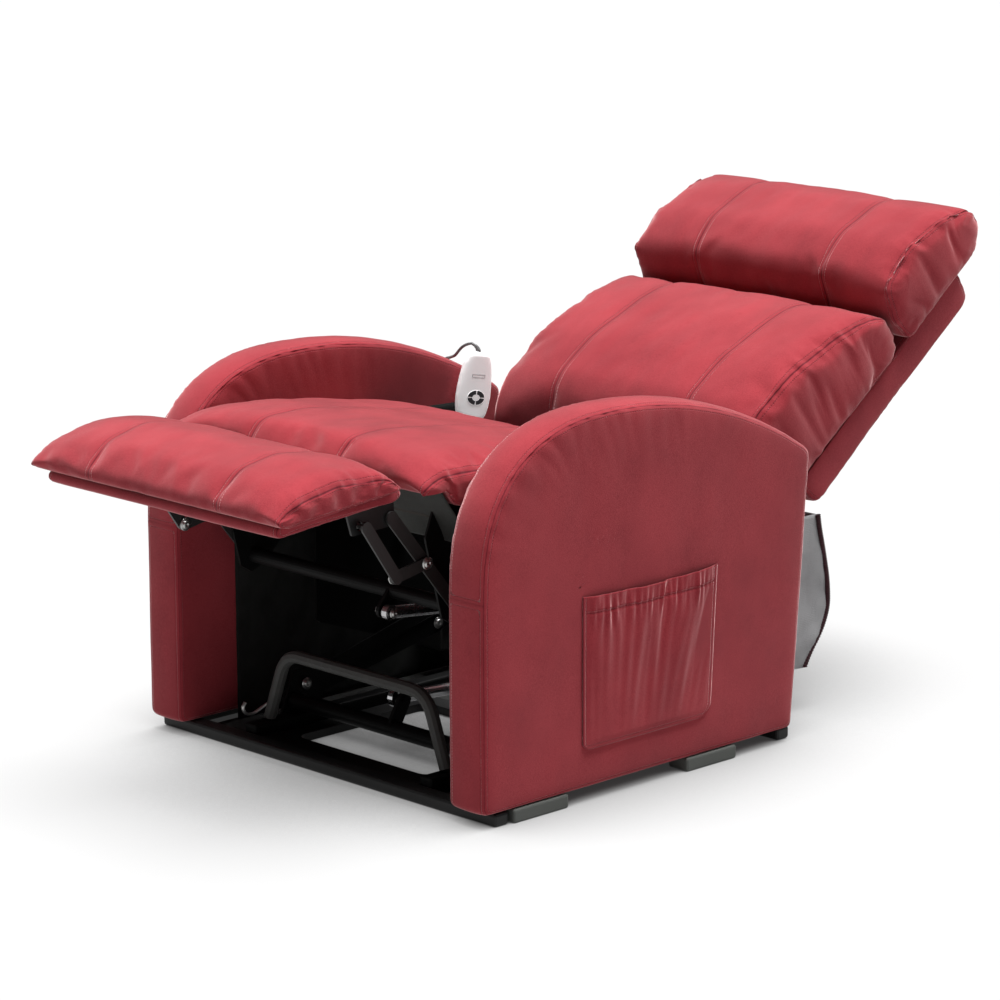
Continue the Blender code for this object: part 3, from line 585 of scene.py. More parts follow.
NODE_FINISHES = (
    (ROD_STEEL, "lift_actuator_rod recline_actuator_rod"),
    (BLACK_PLASTIC, "lift_actuator recline_actuator control_box"),
    (GREY_STEEL, "base_u_bar"),
    (SHADED_STEEL, "base_rail base_bracket lift_ guide_ chair_ seat_mechanism footrest_torque_tube"),
    (BLACK_STEEL, "base_ footrest_bracket back_hinge"),
    (LINK_STEEL, "footrest_link footrest_coupler footrest_bar"),
    (FOOT_PLASTIC, "arm_foot"),
    (SHADED_PLYWOOD, "seat_deck"),
    (DUST_CLOTH, "rear_dust_cover"),
    (WHITE_PLASTIC, "handset_shell"),
    (BUTTON_RUBBER, "handset_button"),
    (GREY_RUBBER, "handset_strain handset_cord"),
)


def finish_nodes():
    """Each CAD node gets the first finish whose words it starts with, or suede."""
    for name, obj in NODES.items():
        made = next((m for m, words in NODE_FINISHES if name.startswith(tuple(words.split()))), SUEDE)
        obj.data.materials.clear()
        obj.data.materials.append(made)


# ---- cord ---------------------------------------------------------------
def smooth_route(route, spacing):
    """Points at an even spacing along a smooth curve through the route."""
    knots = [Vector(p) for p in route]
    knots = [2 * knots[0] - knots[1]] + knots + [2 * knots[-1] - knots[-2]]
    fine = []
    for a, b, c, d in zip(knots, knots[1:], knots[2:], knots[3:]):
        for i in range(40):
            t = i / 40
            fine.append(0.5 * (2 * b + (c - a) * t + (2 * a - 5 * b + 4 * c - d) * t * t
                               + (3 * b - a - 3 * c + d) * t ** 3))
    fine.append(knots[-2])
    length = sum((q - p).length for p, q in zip(fine, fine[1:]))
    step = length / round(length / spacing)
    points, gone = [fine[0]], 0.0
    for p, q in zip(fine, fine[1:]):
        run = (q - p).length
        while gone + run >= step * len(points) - 1e-9 and run > 0:
            points.append(p.lerp(q, (step * len(points) - gone) / run))
        gone += run
    points[-1] = fine[-1]
    return points, length


HANDSET_YAW = math.radians(12.5)
HANDSET_LEAN = math.radians(9.5)
HANDSET_OUT = Vector((math.cos(HANDSET_YAW), -math.sin(HANDSET_YAW), 0.0))
HANDSET_UP = (Vector((0, 0, 1)) * math.cos(HANDSET_LEAN)
              + Vector((0, 0, 1)).cross(HANDSET_OUT) * math.sin(HANDSET_LEAN)).normalized()
HANDSET_LEVEL = HANDSET_UP.cross(HANDSET_OUT).normalized()
HANDSET_WIDTH, HANDSET_LENGTH, HANDSET_THICK = 0.060, 0.106, 0.018
HANDSET_MIDDLE = Vector((-0.2667, 0.2115, 0.446))
PAD_RADII = (0.0150, 0.0112)
RELIEF_WAY = Vector((-0.53, -0.46, 0.71)).normalized()
RELIEF_LENGTH = 0.008


def on_handset(x, y, out):
    """A place on the hand control, from its middle."""
    return HANDSET_MIDDLE + HANDSET_LEVEL * x + HANDSET_UP * y + HANDSET_OUT * out


def relief_end(past):
    """The end of the strain relief, and past it by a little."""
    return on_handset(0, HANDSET_LENGTH / 2 + 0.0036, -0.001) + RELIEF_WAY * (RELIEF_LENGTH + past)


def handset_cord():
    """The grey lead goes over the right arm, down its outside and in to the control box."""
    start = relief_end(0.001)
    outside = -0.3645
    route = [start, start + RELIEF_WAY * 0.004, (-0.2745, 0.2125, 0.5112), (-0.283, 0.2102, 0.5085),
             (-0.293, 0.2089, 0.5020), (-0.306, 0.2095, 0.4895), (-0.319, 0.216, 0.4845),
             (-0.334, 0.2235, 0.4795), (-0.350, 0.228, 0.4740), (outside, 0.230, 0.456),
             (outside - 0.003, 0.232, 0.430), (outside, 0.238, 0.380), (outside, 0.248, 0.300),
             (outside, 0.262, 0.200), (outside + 0.010, 0.278, 0.140), (-0.315, 0.284, 0.105),
             (-0.272, 0.268, 0.085), (-0.251, 0.240, 0.076), (-0.251, 0.2134, 0.075)]
    points, length = smooth_route(route, 0.006)
    data = bpy.data.curves.new("handset_lead", "CURVE")
    data.dimensions = "3D"
    data.bevel_depth = CORD_RADIUS
    data.bevel_resolution = 3
    data.use_fill_caps = True
    spline = data.splines.new("POLY")
    spline.points.add(len(points) - 1)
    for point, place in zip(spline.points, points):
        point.co = (*place, 1.0)
    data.materials.append(GREY_RUBBER)
    lead = add_object("handset_lead", data)
    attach(lead, "chair")
    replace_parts(lead, "handset_cord")
    relief = strain_relief()


def strain_relief():
    """A ribbed, tapered sleeve that bends out of the handset's top towards the arm."""
    rows, sides, steps = [], 20, 22
    foot = on_handset(0, HANDSET_LENGTH / 2 - 0.002, -0.001)
    tip = relief_end(0.0005)
    bend = foot + HANDSET_UP * 0.007
    for k in range(steps + 1):
        share = k / steps
        radius = 0.0044 - 0.0014 * share - 0.0005 * (0.5 - 0.5 * math.cos(share * 12 * math.pi))
        centre = foot.lerp(bend, share).lerp(bend.lerp(tip, share), share)
        along = (bend - foot).lerp(tip - bend, share).normalized()
        right = along.cross(HANDSET_OUT).normalized()
        front = right.cross(along)
        rows += [centre + (right * c + front * s) * radius for c, s in circle(sides)]
    sleeve = add_mesh("handset_bend_relief", rows, tube_faces(steps, sides), GREY_RUBBER, "chair")
    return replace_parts(sleeve, "handset_strain_relief")


# ---- cushions -----------------------------------------------------------
def seam_maps(obj, seams):
    """Distance to the nearest seam, and the run along it, for the stitching, the seam lines and the painted
    shade beside them.
    """
    across, inset, along = form_maps(obj)
    away = np.full(len(across), 1.0)
    for x in seams:
        away = np.minimum(away, np.where(inset > 1e-6, 1.0, abs(across - x)))
    edge = np.minimum(abs(across - across.max()), abs(across - across.min()))
    away = np.minimum(away, np.where(inset > 1e-6, inset, edge))
    put_values(obj.data, "seam_away", away)
    put_values(obj.data, "seam_run", along)
    return away


def keep_off_handset(obj, half):
    """Hold the right side of a back cushion within half where the handset's side of it swings past."""
    low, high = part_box("handset_shell")
    hinge = np.array(joint_centre("back_hinge"))
    corners = np.array([(y, z) for y in (low.y, high.y) for z in (low.z, high.z + RELIEF_LENGTH * 2)])
    swept = np.linalg.norm(corners - hinge, axis=1).max() + 0.004
    points = places(obj.data)
    clear = np.clip((np.linalg.norm(points[:, 1:] - hinge, axis=1) - swept) / 0.05, 0, 1)
    points[:, 0] = np.maximum(points[:, 0], -half - 0.0006 - 0.03 * clear)
    put_places(obj.data, points)


def keep_off_footrest(obj, base):
    """Lift the underside of the seat's nose to the CAD cushion's, clear of the footrest as it folds."""
    points = places(obj.data)
    points[:, 2] = np.maximum(points[:, 2], np.interp(points[:, 1], NOSE_Y, (NOSE_Z, base)))
    put_places(obj.data, points)


def cushion(name, node, body, slope, seam, edge_share, dip, cap, puff, start, corner=0.045,
            gather=0.0030, tuck=0.006, wider=0.0, drop=0.0, reach_out=(0.0, 0.0), sag=0.0):
    """A crowned, stuffed form over a CAD cushion, sewn in three panels with side panels.

    slope is the cushion's lengthwise angle; seam the place of the two long seams; edge_share how
    much of the thickness is left at the side seams; dip the depth of the valleys along the long seams;
    cap the most that the simulation may move the cloth; puff and tuck how far the side panels swell,
    and draw in at mid-length; start the point where the outline begins; wider, drop and reach_out how
    far the cover goes past the CAD cushion at the sides, below, and at the two ends of its top; sag
    how far the top sinks toward the rear."""
    low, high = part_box(node)
    half = high.x + wider
    turn = np.array([[math.cos(slope), math.sin(slope)], [-math.sin(slope), math.cos(slope)]])
    loop, length = soft_loop(outline_of(node) @ turn.T, corner, turn @ np.array(start))
    base = loop[:, 1].min()
    middle = (loop[:, 0].min() + loop[:, 0].max()) / 2
    reach = (loop[:, 0].max() - loop[:, 0].min()) / 2
    thick = loop[:, 1].max() - base

    def place(points, x, inset, side):
        share = min(1.0, abs(x) / half)
        keep = edge_share + (1 - edge_share) * (1 - share ** 3.2) ** (1 / 2.2)
        rise = points[:, 1] - base
        top = np.clip(rise / thick, 0, 1)
        valley = dip * math.exp(-((abs(x) - seam) / 0.016) ** 2)
        w = base - drop * (1 - top) + rise * keep - valley * top
        w -= sag * top * np.clip((points[:, 0] - loop[:, 0].min() - 0.04) / 0.26, 0, 1)
        ends = (points[:, 0] - middle) / reach
        grow = np.where(ends < 0, reach_out[0], reach_out[1]) * top
        u = (middle + (points[:, 0] - middle) * (1 - 0.012 * share ** 4)
             + np.sign(ends) * abs(ends) ** 3 * grow)
        sides = np.sign(x) * (abs(x) - tuck * (1 - np.clip(abs(ends), 0, 1) ** 2) * share ** 6)
        bulge = side * puff * (1 - math.exp(-inset / 0.010))
        back = np.stack([u, w], axis=1) @ turn
        return np.stack([sides + bulge, back[:, 0], back[:, 1]], axis=1)

    seams = [-half, -seam, seam, half]
    obj = form(name, loop, length, columns_between(seams), (0.0022, 0.006, 0.012, 0.020, 0.030), place, SUEDE)

    def shape():
        """Each vertex's distance from a side seam, and whether it is on the cushion's underside."""
        across, inset, _ = form_maps(obj)
        side_seam = np.where(inset > 0, inset, half - abs(across))
        return side_seam, (places(obj.data)[:, 1:] @ turn.T)[:, 1] < base - drop + 0.006

    side_seam, under = shape()
    inflate(obj, np.where(under, 1.0, np.where(side_seam < 0.001, 0.9, 0.0)), cap)
    subdivide(obj)
    away = seam_maps(obj, seams[1:-1])
    across, inset, run = form_maps(obj)
    side_seam, under = shape()
    points = places(obj.data)
    heights = puckers(run + np.sign(across) * 3.1, side_seam, 0.017, gather, 0.0135, 1.7)
    long_seam = np.where(inset > 0, 1.0, abs(abs(across) - seam))
    heights += puckers(run + across, long_seam, 0.008, gather * 0.16, 0.016, 4.2)
    heights -= 0.0005 * np.exp(-(away / 0.0022) ** 2)
    heights += 0.0022 * waves(points, (9, 9, 9), 2.0) + 0.0009 * waves(points, (34, 22, 34), 5.0)
    raise_along(obj, np.where(under, np.minimum(heights, -0.0005), heights))
    if body == "back":
        keep_off_handset(obj, high.x)
    if body == "seat":
        keep_off_footrest(obj, low.z)
    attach(obj, body)
    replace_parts(obj, node)


def cushions():
    """The seat, the footrest, the back and the headrest."""
    foot_slope = math.atan2(0.019, 0.220)
    cushion("seat_cushion_cover", "seat_cushion", "seat", 0.0, 0.092, 0.69, 0.0012, 0.010, 0.004,
            (-0.17, 0.4275), gather=0.0022, sag=0.022)
    cushion("footrest_cushion_cover", "footrest_cushion", "footrest", foot_slope, 0.136, 0.60, 0.0010, 0.008,
            0.003, (-0.53, 0.452), corner=0.026, gather=0.0018, wider=0.014, tuck=0.003)
    cushion("back_cushion_cover", "back_cushion", "back", BACK_ANGLE, 0.132, 0.93, 0.0012, 0.010, 0.008,
            (0.46, 0.43), gather=0.0015, wider=0.010, drop=0.022, tuck=0.003, reach_out=(0.050, 0.0))
    cushion("headrest_cushion_cover", "headrest_cushion", "back", BACK_ANGLE, 0.130, 0.97, 0.0010, 0.008,
            0.008, (0.68, 0.60), corner=0.024, gather=0.0015, wider=0.012, tuck=0.002,
            reach_out=(0.006, 0.004))


def boards():
    """Thinly padded, tightly covered wood: the back's frame and the footrest's board."""
    for name, node, body, crown, start in (
            ("back_frame_cover", "back_frame", "back", 0.004, (0.60, 0.50)),
            ("footrest_board_cover", "footrest_board", "footrest", 0.0015, (-0.53, 0.44))):
        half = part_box(node)[1].x - 0.002
        loop, length = soft_loop(outline_of(node), 0.012, start)

        def place(points, x, inset, side, half=half, crown=crown):
            grow = crown * (1 - abs(x / half) ** 4) if side == 0 else 0.0
            bulge = side * crown * 0.8 * (1 - math.exp(-inset / 0.012))
            return at_x(x + bulge, pushed_out(points, points.mean(axis=0), grow))

        obj = form(name, loop, length, columns_between([-half, half]), (0.002, 0.0055, 0.011, 0.018), place,
                   FRAME_CLOTH)
        subdivide(obj)
        away = seam_maps(obj, [])
        points = places(obj.data)
        heights = puckers(values(obj.data, "along"), away, 0.010, 0.0006, 0.012, 3.3)
        heights -= 0.0010 * np.exp(-(away / 0.0028) ** 2)
        heights += 0.0008 * waves(points, (10, 10, 10), 3.0)
        raise_along(obj, heights)
        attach(obj, body)
        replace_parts(obj, node)


# ---- arms ---------------------------------------------------------------
def arm(side, sign):
    """A tall padded arm: two faces and a boxing band sewn between them."""
    node = "arm_" + side
    low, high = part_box(node)
    inner, outer = sorted((abs(low.x), abs(high.x)))
    inner, outer = inner + ARM_SEAM_INSET, outer - ARM_SEAM_INSET
    loop, length = soft_loop(outline_of(node), 0.011, (0.0, low.z))
    depths = (0.0022, 0.006, 0.011, 0.018, 0.027, 0.038, 0.050, 0.063, 0.077, 0.092, 0.110, 0.130, 0.152,
              0.178, 0.210, 0.250)

    def place(points, x, inset, side):
        share = (x - inner) / (outer - inner)
        centre = (points.min(axis=0) + points.max(axis=0)) / 2
        top = np.clip((points[:, 1] - 0.34) / 0.12, 0, 1)
        crown = (0.0020 + 0.0038 * top) * (1 - abs(2 * share - 1) ** 2.4) * (side == 0)
        bulge = side * (ARM_SEAM_INSET - 0.0004) * (1 - math.exp(-inset / 0.012))
        return at_x(sign * (x + bulge), pushed_out(points, centre, crown[:, None]))

    obj = form("arm_cover_" + side, loop, length, columns_between([inner, outer]), depths, place, SUEDE)
    subdivide(obj)
    across, inset, run = form_maps(obj)
    points = places(obj.data)
    seam = np.where(inset > 0, inset, np.minimum(abs(across - inner), abs(across - outer)))
    on_band = (inset < 1e-6) & (points[:, 1] < ARM_FRONT_Y)
    cross = np.where(on_band, abs(points[:, 2] - ARM_CROSS_SEAM_Z), 1.0)
    away = np.minimum(seam, cross)
    # seam_away also places the suede's dark seam line and the painted shade beside the seams
    put_values(obj.data, "seam_away", away)
    put_values(obj.data, "seam_run", np.where(cross < seam, across, run))
    curve = np.clip((points[:, 2] - 0.33) / 0.08, 0, 1) * np.clip((0.06 - points[:, 1]) / 0.10, 0.25, 1)
    on_face = inset > 0
    heights = np.where(on_face, puckers(run, seam, 0.034, 0.0017, 0.030, 2.2) * curve,
                       puckers(run, seam, 0.007, 0.0011, 0.0052, 6.1) * curve)
    heights -= 0.0014 * np.exp(-(away / 0.0030) ** 2)
    heights += np.where(on_face, 0.0012, 0.0006) * waves(points, (6, 6, 6), 4.0)
    heights += np.where(on_face, 0.0005, 0.0003) * waves(points, (26, 20, 14), 9.0)
    limit = np.where(on_face & (seam > 0.02), 0.0006, 1.0)
    ways = normals(obj.data)
    deep = np.clip((inset - 0.02) / 0.02, 0, 1)[:, None]
    flat_way = np.stack([np.sign(ways[:, 0]), np.zeros(len(ways)), np.zeros(len(ways))], axis=1)
    ways = ways * (1 - deep) + flat_way * deep
    put_places(obj.data, points + ways * np.minimum(heights, limit)[:, None])
    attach(obj, "chair")
    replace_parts(obj, node)


# ---- sheets -------------------------------------------------------------
def sheet_mesh(name, columns, rows, place, thickness, material, body):
    """A cloth of columns by rows faces; place(u, v) gives each point."""
    points = [place(i / columns, j / rows) for j in range(rows + 1) for i in range(columns + 1)]
    wide = columns + 1
    faces = [(j * wide + i, j * wide + i + 1, (j + 1) * wide + i + 1, (j + 1) * wide + i)
             for j in range(rows) for i in range(columns)]
    mesh = bpy.data.meshes.new(name)
    mesh.from_pydata([tuple(p) for p in points], [], faces)
    mesh.shade_smooth()
    mesh.materials.append(material)
    made = add_object(name, mesh)
    put_values(mesh, "sheet_u", [i / columns for j in range(rows + 1) for i in range(columns + 1)])
    put_values(mesh, "sheet_v", [j / rows for j in range(rows + 1) for i in range(columns + 1)])
    if thickness:
        solid = made.modifiers.new("thickness", "SOLIDIFY")
        solid.thickness = thickness
        solid.offset = 0.0
        apply_modifiers(made)
    if body:
        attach(made, body)
    return made


def pocket():
    """A gathered pouch sewn to the left arm, with an elastic hem."""
    low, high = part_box("arm_pocket")
    face = low.x + 0.0012
    hem = 0.895

    def folds(u, v):
        lean = u + 0.34 * (1 - v) * (u - 0.15)
        wide = ripple(lean * 6.5 + 3.0, v * 0.8, 1.0)
        narrow = ripple(lean * 15.0 + 8.0, v * 1.2, 4.0)
        fine = ripple(u * 34.0, v * 2.0, 9.0)
        fall = max(0.0, 1 - (hem - v) * 1.15) if v < hem else 1.0
        gathers = math.exp(-((v - hem) / 0.10) ** 2)
        return (0.0090 * wide + 0.0042 * narrow) * fall + 0.0046 * fine * gathers

    def place(u, v):
        y = low.y + 0.002 + (high.y - low.y - 0.004) * u
        y -= 0.013 * (1 - v) * u
        z = low.z + 0.002 + (high.z - low.z - 0.004) * v
        z -= 0.004 * math.sin(math.pi * u) * max(0.0, v - 0.5) * 2
        rim = min(1.0, min(u, 1 - u) / 0.05, v / 0.06)
        belly = 0.0062 * math.sin(math.pi * min(1.0, max(0.0, u))) ** 0.7 * (0.45 + 0.55 * v ** 1.5)
        x = face + rim * (belly + max(-belly * 0.8, folds(u, v)))
        if abs(v - hem) < 0.012:
            x -= 0.0008 * rim
        corner = 0.09 if u > 0.5 else 0.05
        if v < corner:
            pull = (1 - v / corner) ** 2 * 0.26 * corner
            y += pull * (1 if u < 0.5 else -1) * min(1.0, abs(u - 0.5) * 2) ** 5
        return (x, y, z)

    made = sheet_mesh("pocket_cloth", 150, 120, place, 0.0013, POCKET_CLOTH, "chair")
    u, v = values(made.data, "sheet_u"), values(made.data, "sheet_v")
    wide, tall = high.y - low.y, high.z - low.z
    edge = np.minimum(np.minimum(u, 1 - u) * wide, v * tall)
    row = abs(v - hem) * tall
    # painted shade and the dark seam line follow the pocket's edges; the hem gets only a row of stitches
    put_values(made.data, "seam_away", np.minimum(edge + 0.0004, row + 0.0055))
    put_values(made.data, "seam_run", np.where(np.minimum(u, 1 - u) * wide < v * tall, v * tall, u * wide))
    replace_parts(made, "arm_pocket")


def dust_cover():
    """Grey cloth round the sides and the rear below the backrest, zipped at its edges."""
    low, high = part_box("rear_dust_cover")
    half = high.x
    stand = ((0.0, 0.378), (0.12, 0.404), (0.28, 0.435), (0.48, 0.438), (0.69, 0.428), (0.90, 0.416),
             (1.0, 0.409))

    def rear(z):
        """How far back the cloth stands at height z."""
        share = (z - low.z) / (high.z - low.z) + np.linspace(-0.13, 0.13, 9)
        return float(np.mean(np.interp(share, [p[0] for p in stand], [p[1] for p in stand])))

    def arm_rear(z):
        """Where the arm's leaning rear edge is, just behind it."""
        return 0.254 + (0.287 - 0.254) * min(1.0, z / 0.430) + 0.004

    def place(u, v):
        z = low.z + (high.z - low.z) * v
        back = rear(z)
        start = arm_rear(z)
        side = back - start
        total = 2 * side + 2 * half
        s = u * total
        sag = 0.004 * ripple(u * 9, v * 3, 2.0) + 0.0016 * ripple(u * 40, v * 9, 5.0)
        if s < side:
            share = s / side
            return (half - 0.004 * math.sin(math.pi * share) + sag, start + s, z)
        if s > side + 2 * half:
            share = (total - s) / side
            return (-half + 0.004 * math.sin(math.pi * share) - sag, start + total - s, z)
        x = half - (s - side)
        return (x, back - 0.006 * (1 - abs(x / half) ** 6) + sag, z)

    made = sheet_mesh("dust_cover_cloth", 160, 40, place, 0.0012, DUST_CLOTH, None)
    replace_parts(made, "rear_dust_cover")
    edges = []
    for sign in (1, -1):
        def tape(u, v, sign=sign):
            z = low.z + 0.001 + (high.z - low.z - 0.002) * v
            around = 2 * math.pi * u
            teeth = 0.0006 * math.cos(v * 2 * math.pi * 62)
            return (sign * (half + 0.0005) + (0.0030 + teeth) * math.cos(around),
                    rear(z) + 0.001 + (0.0048 + teeth) * math.sin(around), z)

        edges.append(sheet_mesh("dust_cover_zip_" + ("left" if sign > 0 else "right"), 10, 500, tape, 0.0,
                                ZIP_TAPE, None))
    for piece in (made, *edges):
        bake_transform(piece)


def shade_linings():
    """Black cloth on the arms' inner faces, across the inside, and over the floor frame's sides: dark sheets
    that stand in for the shade inside the body.
    """
    rail_low, rail_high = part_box("base_rail_left")
    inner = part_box("arm_left")[0].x - 0.0008
    for side, sign in (("left", 1), ("right", -1)):
        def wall(u, v, sign=sign):
            y = -0.262 + 0.495 * u
            z = 0.006 + (0.434 - 0.02 * u) * v
            return (sign * (inner + 0.0008 * ripple(u * 18, v * 12, sign)), y, z)

        lining = sheet_mesh("arm_shade_lining_" + side, 60, 50, wall, 0.0008, BLACK_SHADE_CLOTH, "chair")

        def floor_side(u, v, sign=sign):
            x = rail_high.x + 0.0012 + (inner - rail_high.x + 0.010) * u
            return (sign * x, rail_low.y + 0.004 + (rail_high.y - rail_low.y - 0.006) * v,
                    0.0045 + 0.0005 * ripple(u * 6, v * 20, sign))

        skirt = sheet_mesh("floor_shade_cover_" + side, 12, 60, floor_side, 0.0010, BLACK_SHADE_CLOTH, "base")

    def floor_rear(u, v):
        return (-0.1742 + 0.3484 * u, 0.0165 + (rail_high.y - 0.018) * v,
                0.0045 + 0.0005 * ripple(u * 14, v * 9, 3.0))

    panel = sheet_mesh("floor_shade_cover_rear", 40, 24, floor_rear, 0.0010, BLACK_SHADE_CLOTH, "base")


def inner_shade_curtain():
    """Black cloth across the body in front of the dust cover, behind the rear cross bar: a dark sheet that
    stands in for the shade inside the body.
    """
    half = 0.276

    def place(u, v):
        return (-half + 2 * half * u, 0.2685 + 0.0030 * ripple(u * 14, v * 2, 11.0), 0.021 + 0.311 * v)

    made = sheet_mesh("inner_shade_curtain", 80, 40, place, 0.0008, BLACK_SHADE_CLOTH, "chair")


def valance():
    """Dark cloth drawn down from under the seat's front to the deck."""
    half = 0.262

    def place(u, v):
        x = -half + 2 * half * u
        y = -0.352 + 0.048 * (1 - v) ** 1.4
        z = 0.372 + 0.082 * v
        return (x, y + 0.0016 * ripple(u * 16, v * 3, 6.0) + 0.010 * math.sin(math.pi * v), z)

    made = sheet_mesh("seat_valance", 90, 26, place, 0.0010, VALANCE_CLOTH, "seat")


# ---- hand control -------------------------------------------------------
def handset_shell():
    """A waisted, softly crowned shell, as wide as the CAD shell."""
    low, high = -HANDSET_LENGTH / 2, HANDSET_LENGTH / 2
    stations = 44
    sides = 48

    def half_width(t):
        """Half width along the shell, from its bottom at 0 to its top at 1."""
        shares = ((0.0, 0.56), (0.03, 0.72), (0.09, 0.85), (0.20, 0.95), (0.34, 1.0), (0.50, 0.975),
                  (0.68, 0.90), (0.84, 0.79), (0.94, 0.66), (0.98, 0.52), (1.0, 0.40))
        return HANDSET_WIDTH / 2 * float(np.interp(t, [p[0] for p in shares], [p[1] for p in shares]))

    rows = []
    for k in range(stations + 1):
        t = k / stations
        width = half_width(t)
        rim = min(t, 1 - t)
        thick = (HANDSET_THICK / 2) * min(1.0, (rim / 0.05 + 0.12)) ** 0.5
        y = low + (high - low) * t
        for c, s in circle(sides):
            x = width * math.copysign(abs(c) ** 0.62, c)
            out = thick * math.copysign(abs(s) ** 0.70, s)
            rows.append(on_handset(x, y, out))
    shell = add_mesh("handset_body", rows, tube_faces(stations, sides), WHITE_PLASTIC, "chair")
    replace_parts(shell, "handset_shell")
    pad_y = low + 0.036
    front = HANDSET_THICK / 2
    disc(on_handset(0, pad_y, front + 0.0001), 0.0005, "handset_pad_ring", WHITE_PLASTIC)
    label(pad_y)


def disc(centre, thick, name, material):
    """A thin oval plate with a rolled rim, in the handset's front, under the buttons."""
    sides = 48
    profile = ((0.0001, thick), (0.94, thick), (1.0, thick * 0.8), (1.035, 0.0), (1.035, -thick))
    rows = []
    for reach, out in profile:
        for c, s in circle(sides):
            spot = HANDSET_LEVEL * (PAD_RADII[0] * c) + HANDSET_UP * (PAD_RADII[1] * s)
            rows.append(centre + spot * reach + HANDSET_OUT * out)
    add_mesh(name, rows, tube_faces(len(profile) - 1, sides), material, "chair")


def label(pad_y):
    """A plain outlined rectangle above the pad, raised a little."""
    middle, half_wide, half_tall, line = pad_y + 0.0335, 0.0115, 0.0024, 0.0004
    front = HANDSET_THICK / 2 - 0.0006
    points, faces = [], []
    for low_x, high_x, low_y, high_y in (
            (-half_wide, half_wide, -half_tall, -half_tall + line),
            (-half_wide, half_wide, half_tall - line, half_tall),
            (-half_wide, -half_wide + line, -half_tall, half_tall),
            (half_wide - line, half_wide, -half_tall, half_tall)):
        first = len(points)
        for out in (front, front + 0.0009):
            for x, y in ((low_x, low_y), (high_x, low_y), (high_x, high_y), (low_x, high_y)):
                points.append(on_handset(x, middle + y, out))
        a = first
        faces += [(a, a + 1, a + 2, a + 3), (a + 4, a + 5, a + 6, a + 7)]
        faces += [(a + i, a + (i + 1) % 4, a + 4 + (i + 1) % 4, a + 4 + i) for i in range(4)]
    add_mesh("handset_window_line", points, faces, GREY_RUBBER, "chair").data.shade_flat()


# ---- fasteners ----------------------------------------------------------
def bolt(name, y, z, x, toward, body, radius=0.0062):
    """A domed bolt head on a washer, across the chair; toward is the way it faces."""
    sides = 24
    profile = ((radius * 1.5, 0.0), (radius * 1.5, 0.0010), (radius * 1.02, 0.0011), (radius, 0.0012),
               (radius * 0.98, 0.0028), (radius * 0.75, 0.0040), (radius * 0.38, 0.0046),
               (radius * 0.36, 0.0030), (0.0001, 0.0028))
    rows = []
    for reach, out in profile:
        for i, (c, s) in enumerate(circle(sides)):
            socket = 0.94 + 0.06 * math.cos(6 * (2 * math.pi * i / sides))
            flat = 1.0 if reach > radius * 0.4 else socket
            rows.append((x + toward * out, y + reach * flat * c, z + reach * flat * s))
    add_mesh(name, rows, tube_faces(len(profile) - 1, sides), BOLT_STEEL, body)


def joint_centre(name):
    """y and z of a joint's axis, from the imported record."""
    found = next(j for j in frame["joints"] if j["name"] == name)
    return found["pos_m"][1], found["pos_m"][2]


def fasteners():
    """Bolt and rivet heads on the linkages, each on the face that shows."""
    for side, sign in (("left", 1), ("right", -1)):
        for place, joint, x, body, way in (
                ("link_low", "footrest_links_hinge", 0.2110, "footrest_links", -1),
                ("link_top", "footrest_hinge", 0.2088, "footrest_links", -1),
                ("coupler", "footrest_couplers_hinge", 0.2252, "footrest_couplers", 1),
                ("bar", "footrest_bars_hinge", 0.2210, "footrest_bars", -1),
                ("lift", "chair_hinge", 0.2092, "lift_arms", -1),
                ("back", "back_hinge", 0.2092, "back", -1),
                ("guide", "guide_links_hinge", 0.1974, "guide_links", -1)):
            y, z = joint_centre(joint)
            bolt("%s_bolt_%s" % (place, side), y, z, sign * x, sign * way, body)


def crank_washers():
    """Bright collars either side of the recline actuator's head, on the crank's pin."""
    for name, x, toward in (("inner", 0.0835, -1), ("outer", 0.1125, 1)):
        bolt("crank_collar_" + name, *CRANK_PIN, x, toward, "footrest_links", 0.0050)


def stay_hook():
    """Zinc-plated hook at the right foot of the U-shaped bar, where its stay clips on."""
    low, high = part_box("base_u_bar")
    foot = Vector((low.x - 0.006, (low.y + high.y) / 2 - 0.010, 0.046))
    steps = ((0.008, 0.012, 0.006), (0.002, 0.006, 0.0), (-0.004, -0.006, -0.008),
             (-0.004, -0.020, -0.006), (-0.004, -0.026, 0.004), (-0.003, -0.022, 0.012))
    points = smooth_route([foot + Vector(step) for step in steps], 0.002)[0]
    rows, sides = [], 12
    for k, point in enumerate(points):
        ahead = points[min(k + 1, len(points) - 1)] - points[max(k - 1, 0)]
        across = ahead.normalized().cross(Vector((1, 0, 0))).normalized()
        rows += [point + across * (0.0022 * c) + Vector((0.0034 * s, 0, 0)) for c, s in circle(sides)]
    add_mesh("stay_hook", rows, tube_faces(len(points) - 1, sides), BOLT_STEEL, "base")


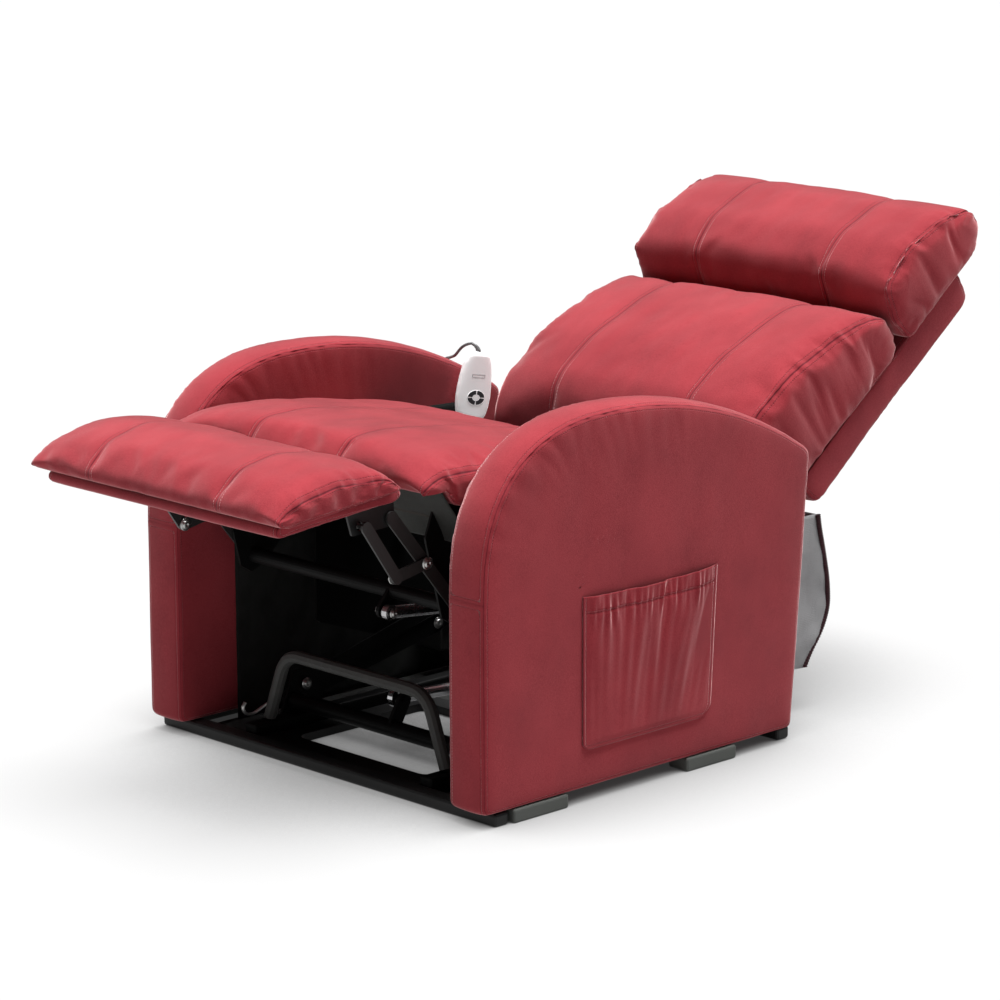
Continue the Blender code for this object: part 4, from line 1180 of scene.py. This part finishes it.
# ---- studio -------------------------------------------------------------
def floor_finish():
    """Pale floor: evenly bright in the open, with painted shadow where things stand close over it: its glow
    dims with ambient occlusion.
    """
    made = Finish("floor", Roughness=0.9, Specular_IOR_Level=0.0)
    made.shader.inputs["Base Color"].default_value = (*[FLOOR_ALBEDO] * 3, 1.0)
    made.shader.inputs["Emission Color"].default_value = (1.0, 1.0, 1.0, 1.0)
    # painted shadow: ambient occlusion dims the floor's glow under and beside the chair
    hidden = made.add("ShaderNodeAmbientOcclusion", {"Distance": FLOOR_SHADE_REACH}, samples=24)
    painted_glow = made.spread(hidden.outputs["AO"], 0.12, 0.80, 0.03, FLOOR_GLOW)
    made.tree.links.new(painted_glow, made.shader.inputs["Emission Strength"])
    return made.material


def studio():
    """Pale floor, even white surroundings and one broad light overhead."""
    scene = bpy.context.scene
    scene.view_settings.view_transform = "Standard"
    world = bpy.data.worlds.new("studio")
    world.use_nodes = True
    world.node_tree.nodes["Background"].inputs["Color"].default_value = (1.0, 1.0, 1.0, 1.0)
    tree = world.node_tree
    place = tree.nodes.new("ShaderNodeTexCoord")
    split = tree.nodes.new("ShaderNodeSeparateXYZ")
    band = tree.nodes.new("ShaderNodeMapRange")
    for socket, value in (("From Min", HORIZON_BAND[0]), ("From Max", HORIZON_BAND[1]),
                          ("To Min", 1.0), ("To Max", WORLD_STRENGTH)):
        band.inputs[socket].default_value = value
    tree.links.new(place.outputs["Generated"], split.inputs["Vector"])
    tree.links.new(split.outputs["Z"], band.inputs["Value"])
    tree.links.new(band.outputs["Result"], tree.nodes["Background"].inputs["Strength"])
    scene.world = world
    rim = [(FLOOR_RADIUS * c, FLOOR_RADIUS * s, -0.0004) for c, s in circle(64)]
    add_mesh("floor", rim, [tuple(range(len(rim)))], floor_finish(), None)
    lamp = bpy.data.lights.new("key", "SUN")
    lamp.energy = KEY_STRENGTH
    lamp.angle = KEY_ANGLE
    add_object("key", lamp).rotation_euler = KEY_FROM.to_track_quat("Z", "Y").to_euler()


camera()
handset_cord()
finish_nodes()
arm("left", 1)
arm("right", -1)
boards()
cushions()
pocket()
dust_cover()
shade_linings()
inner_shade_curtain()
valance()
handset_shell()
fasteners()
crank_washers()
stay_hook()
studio()
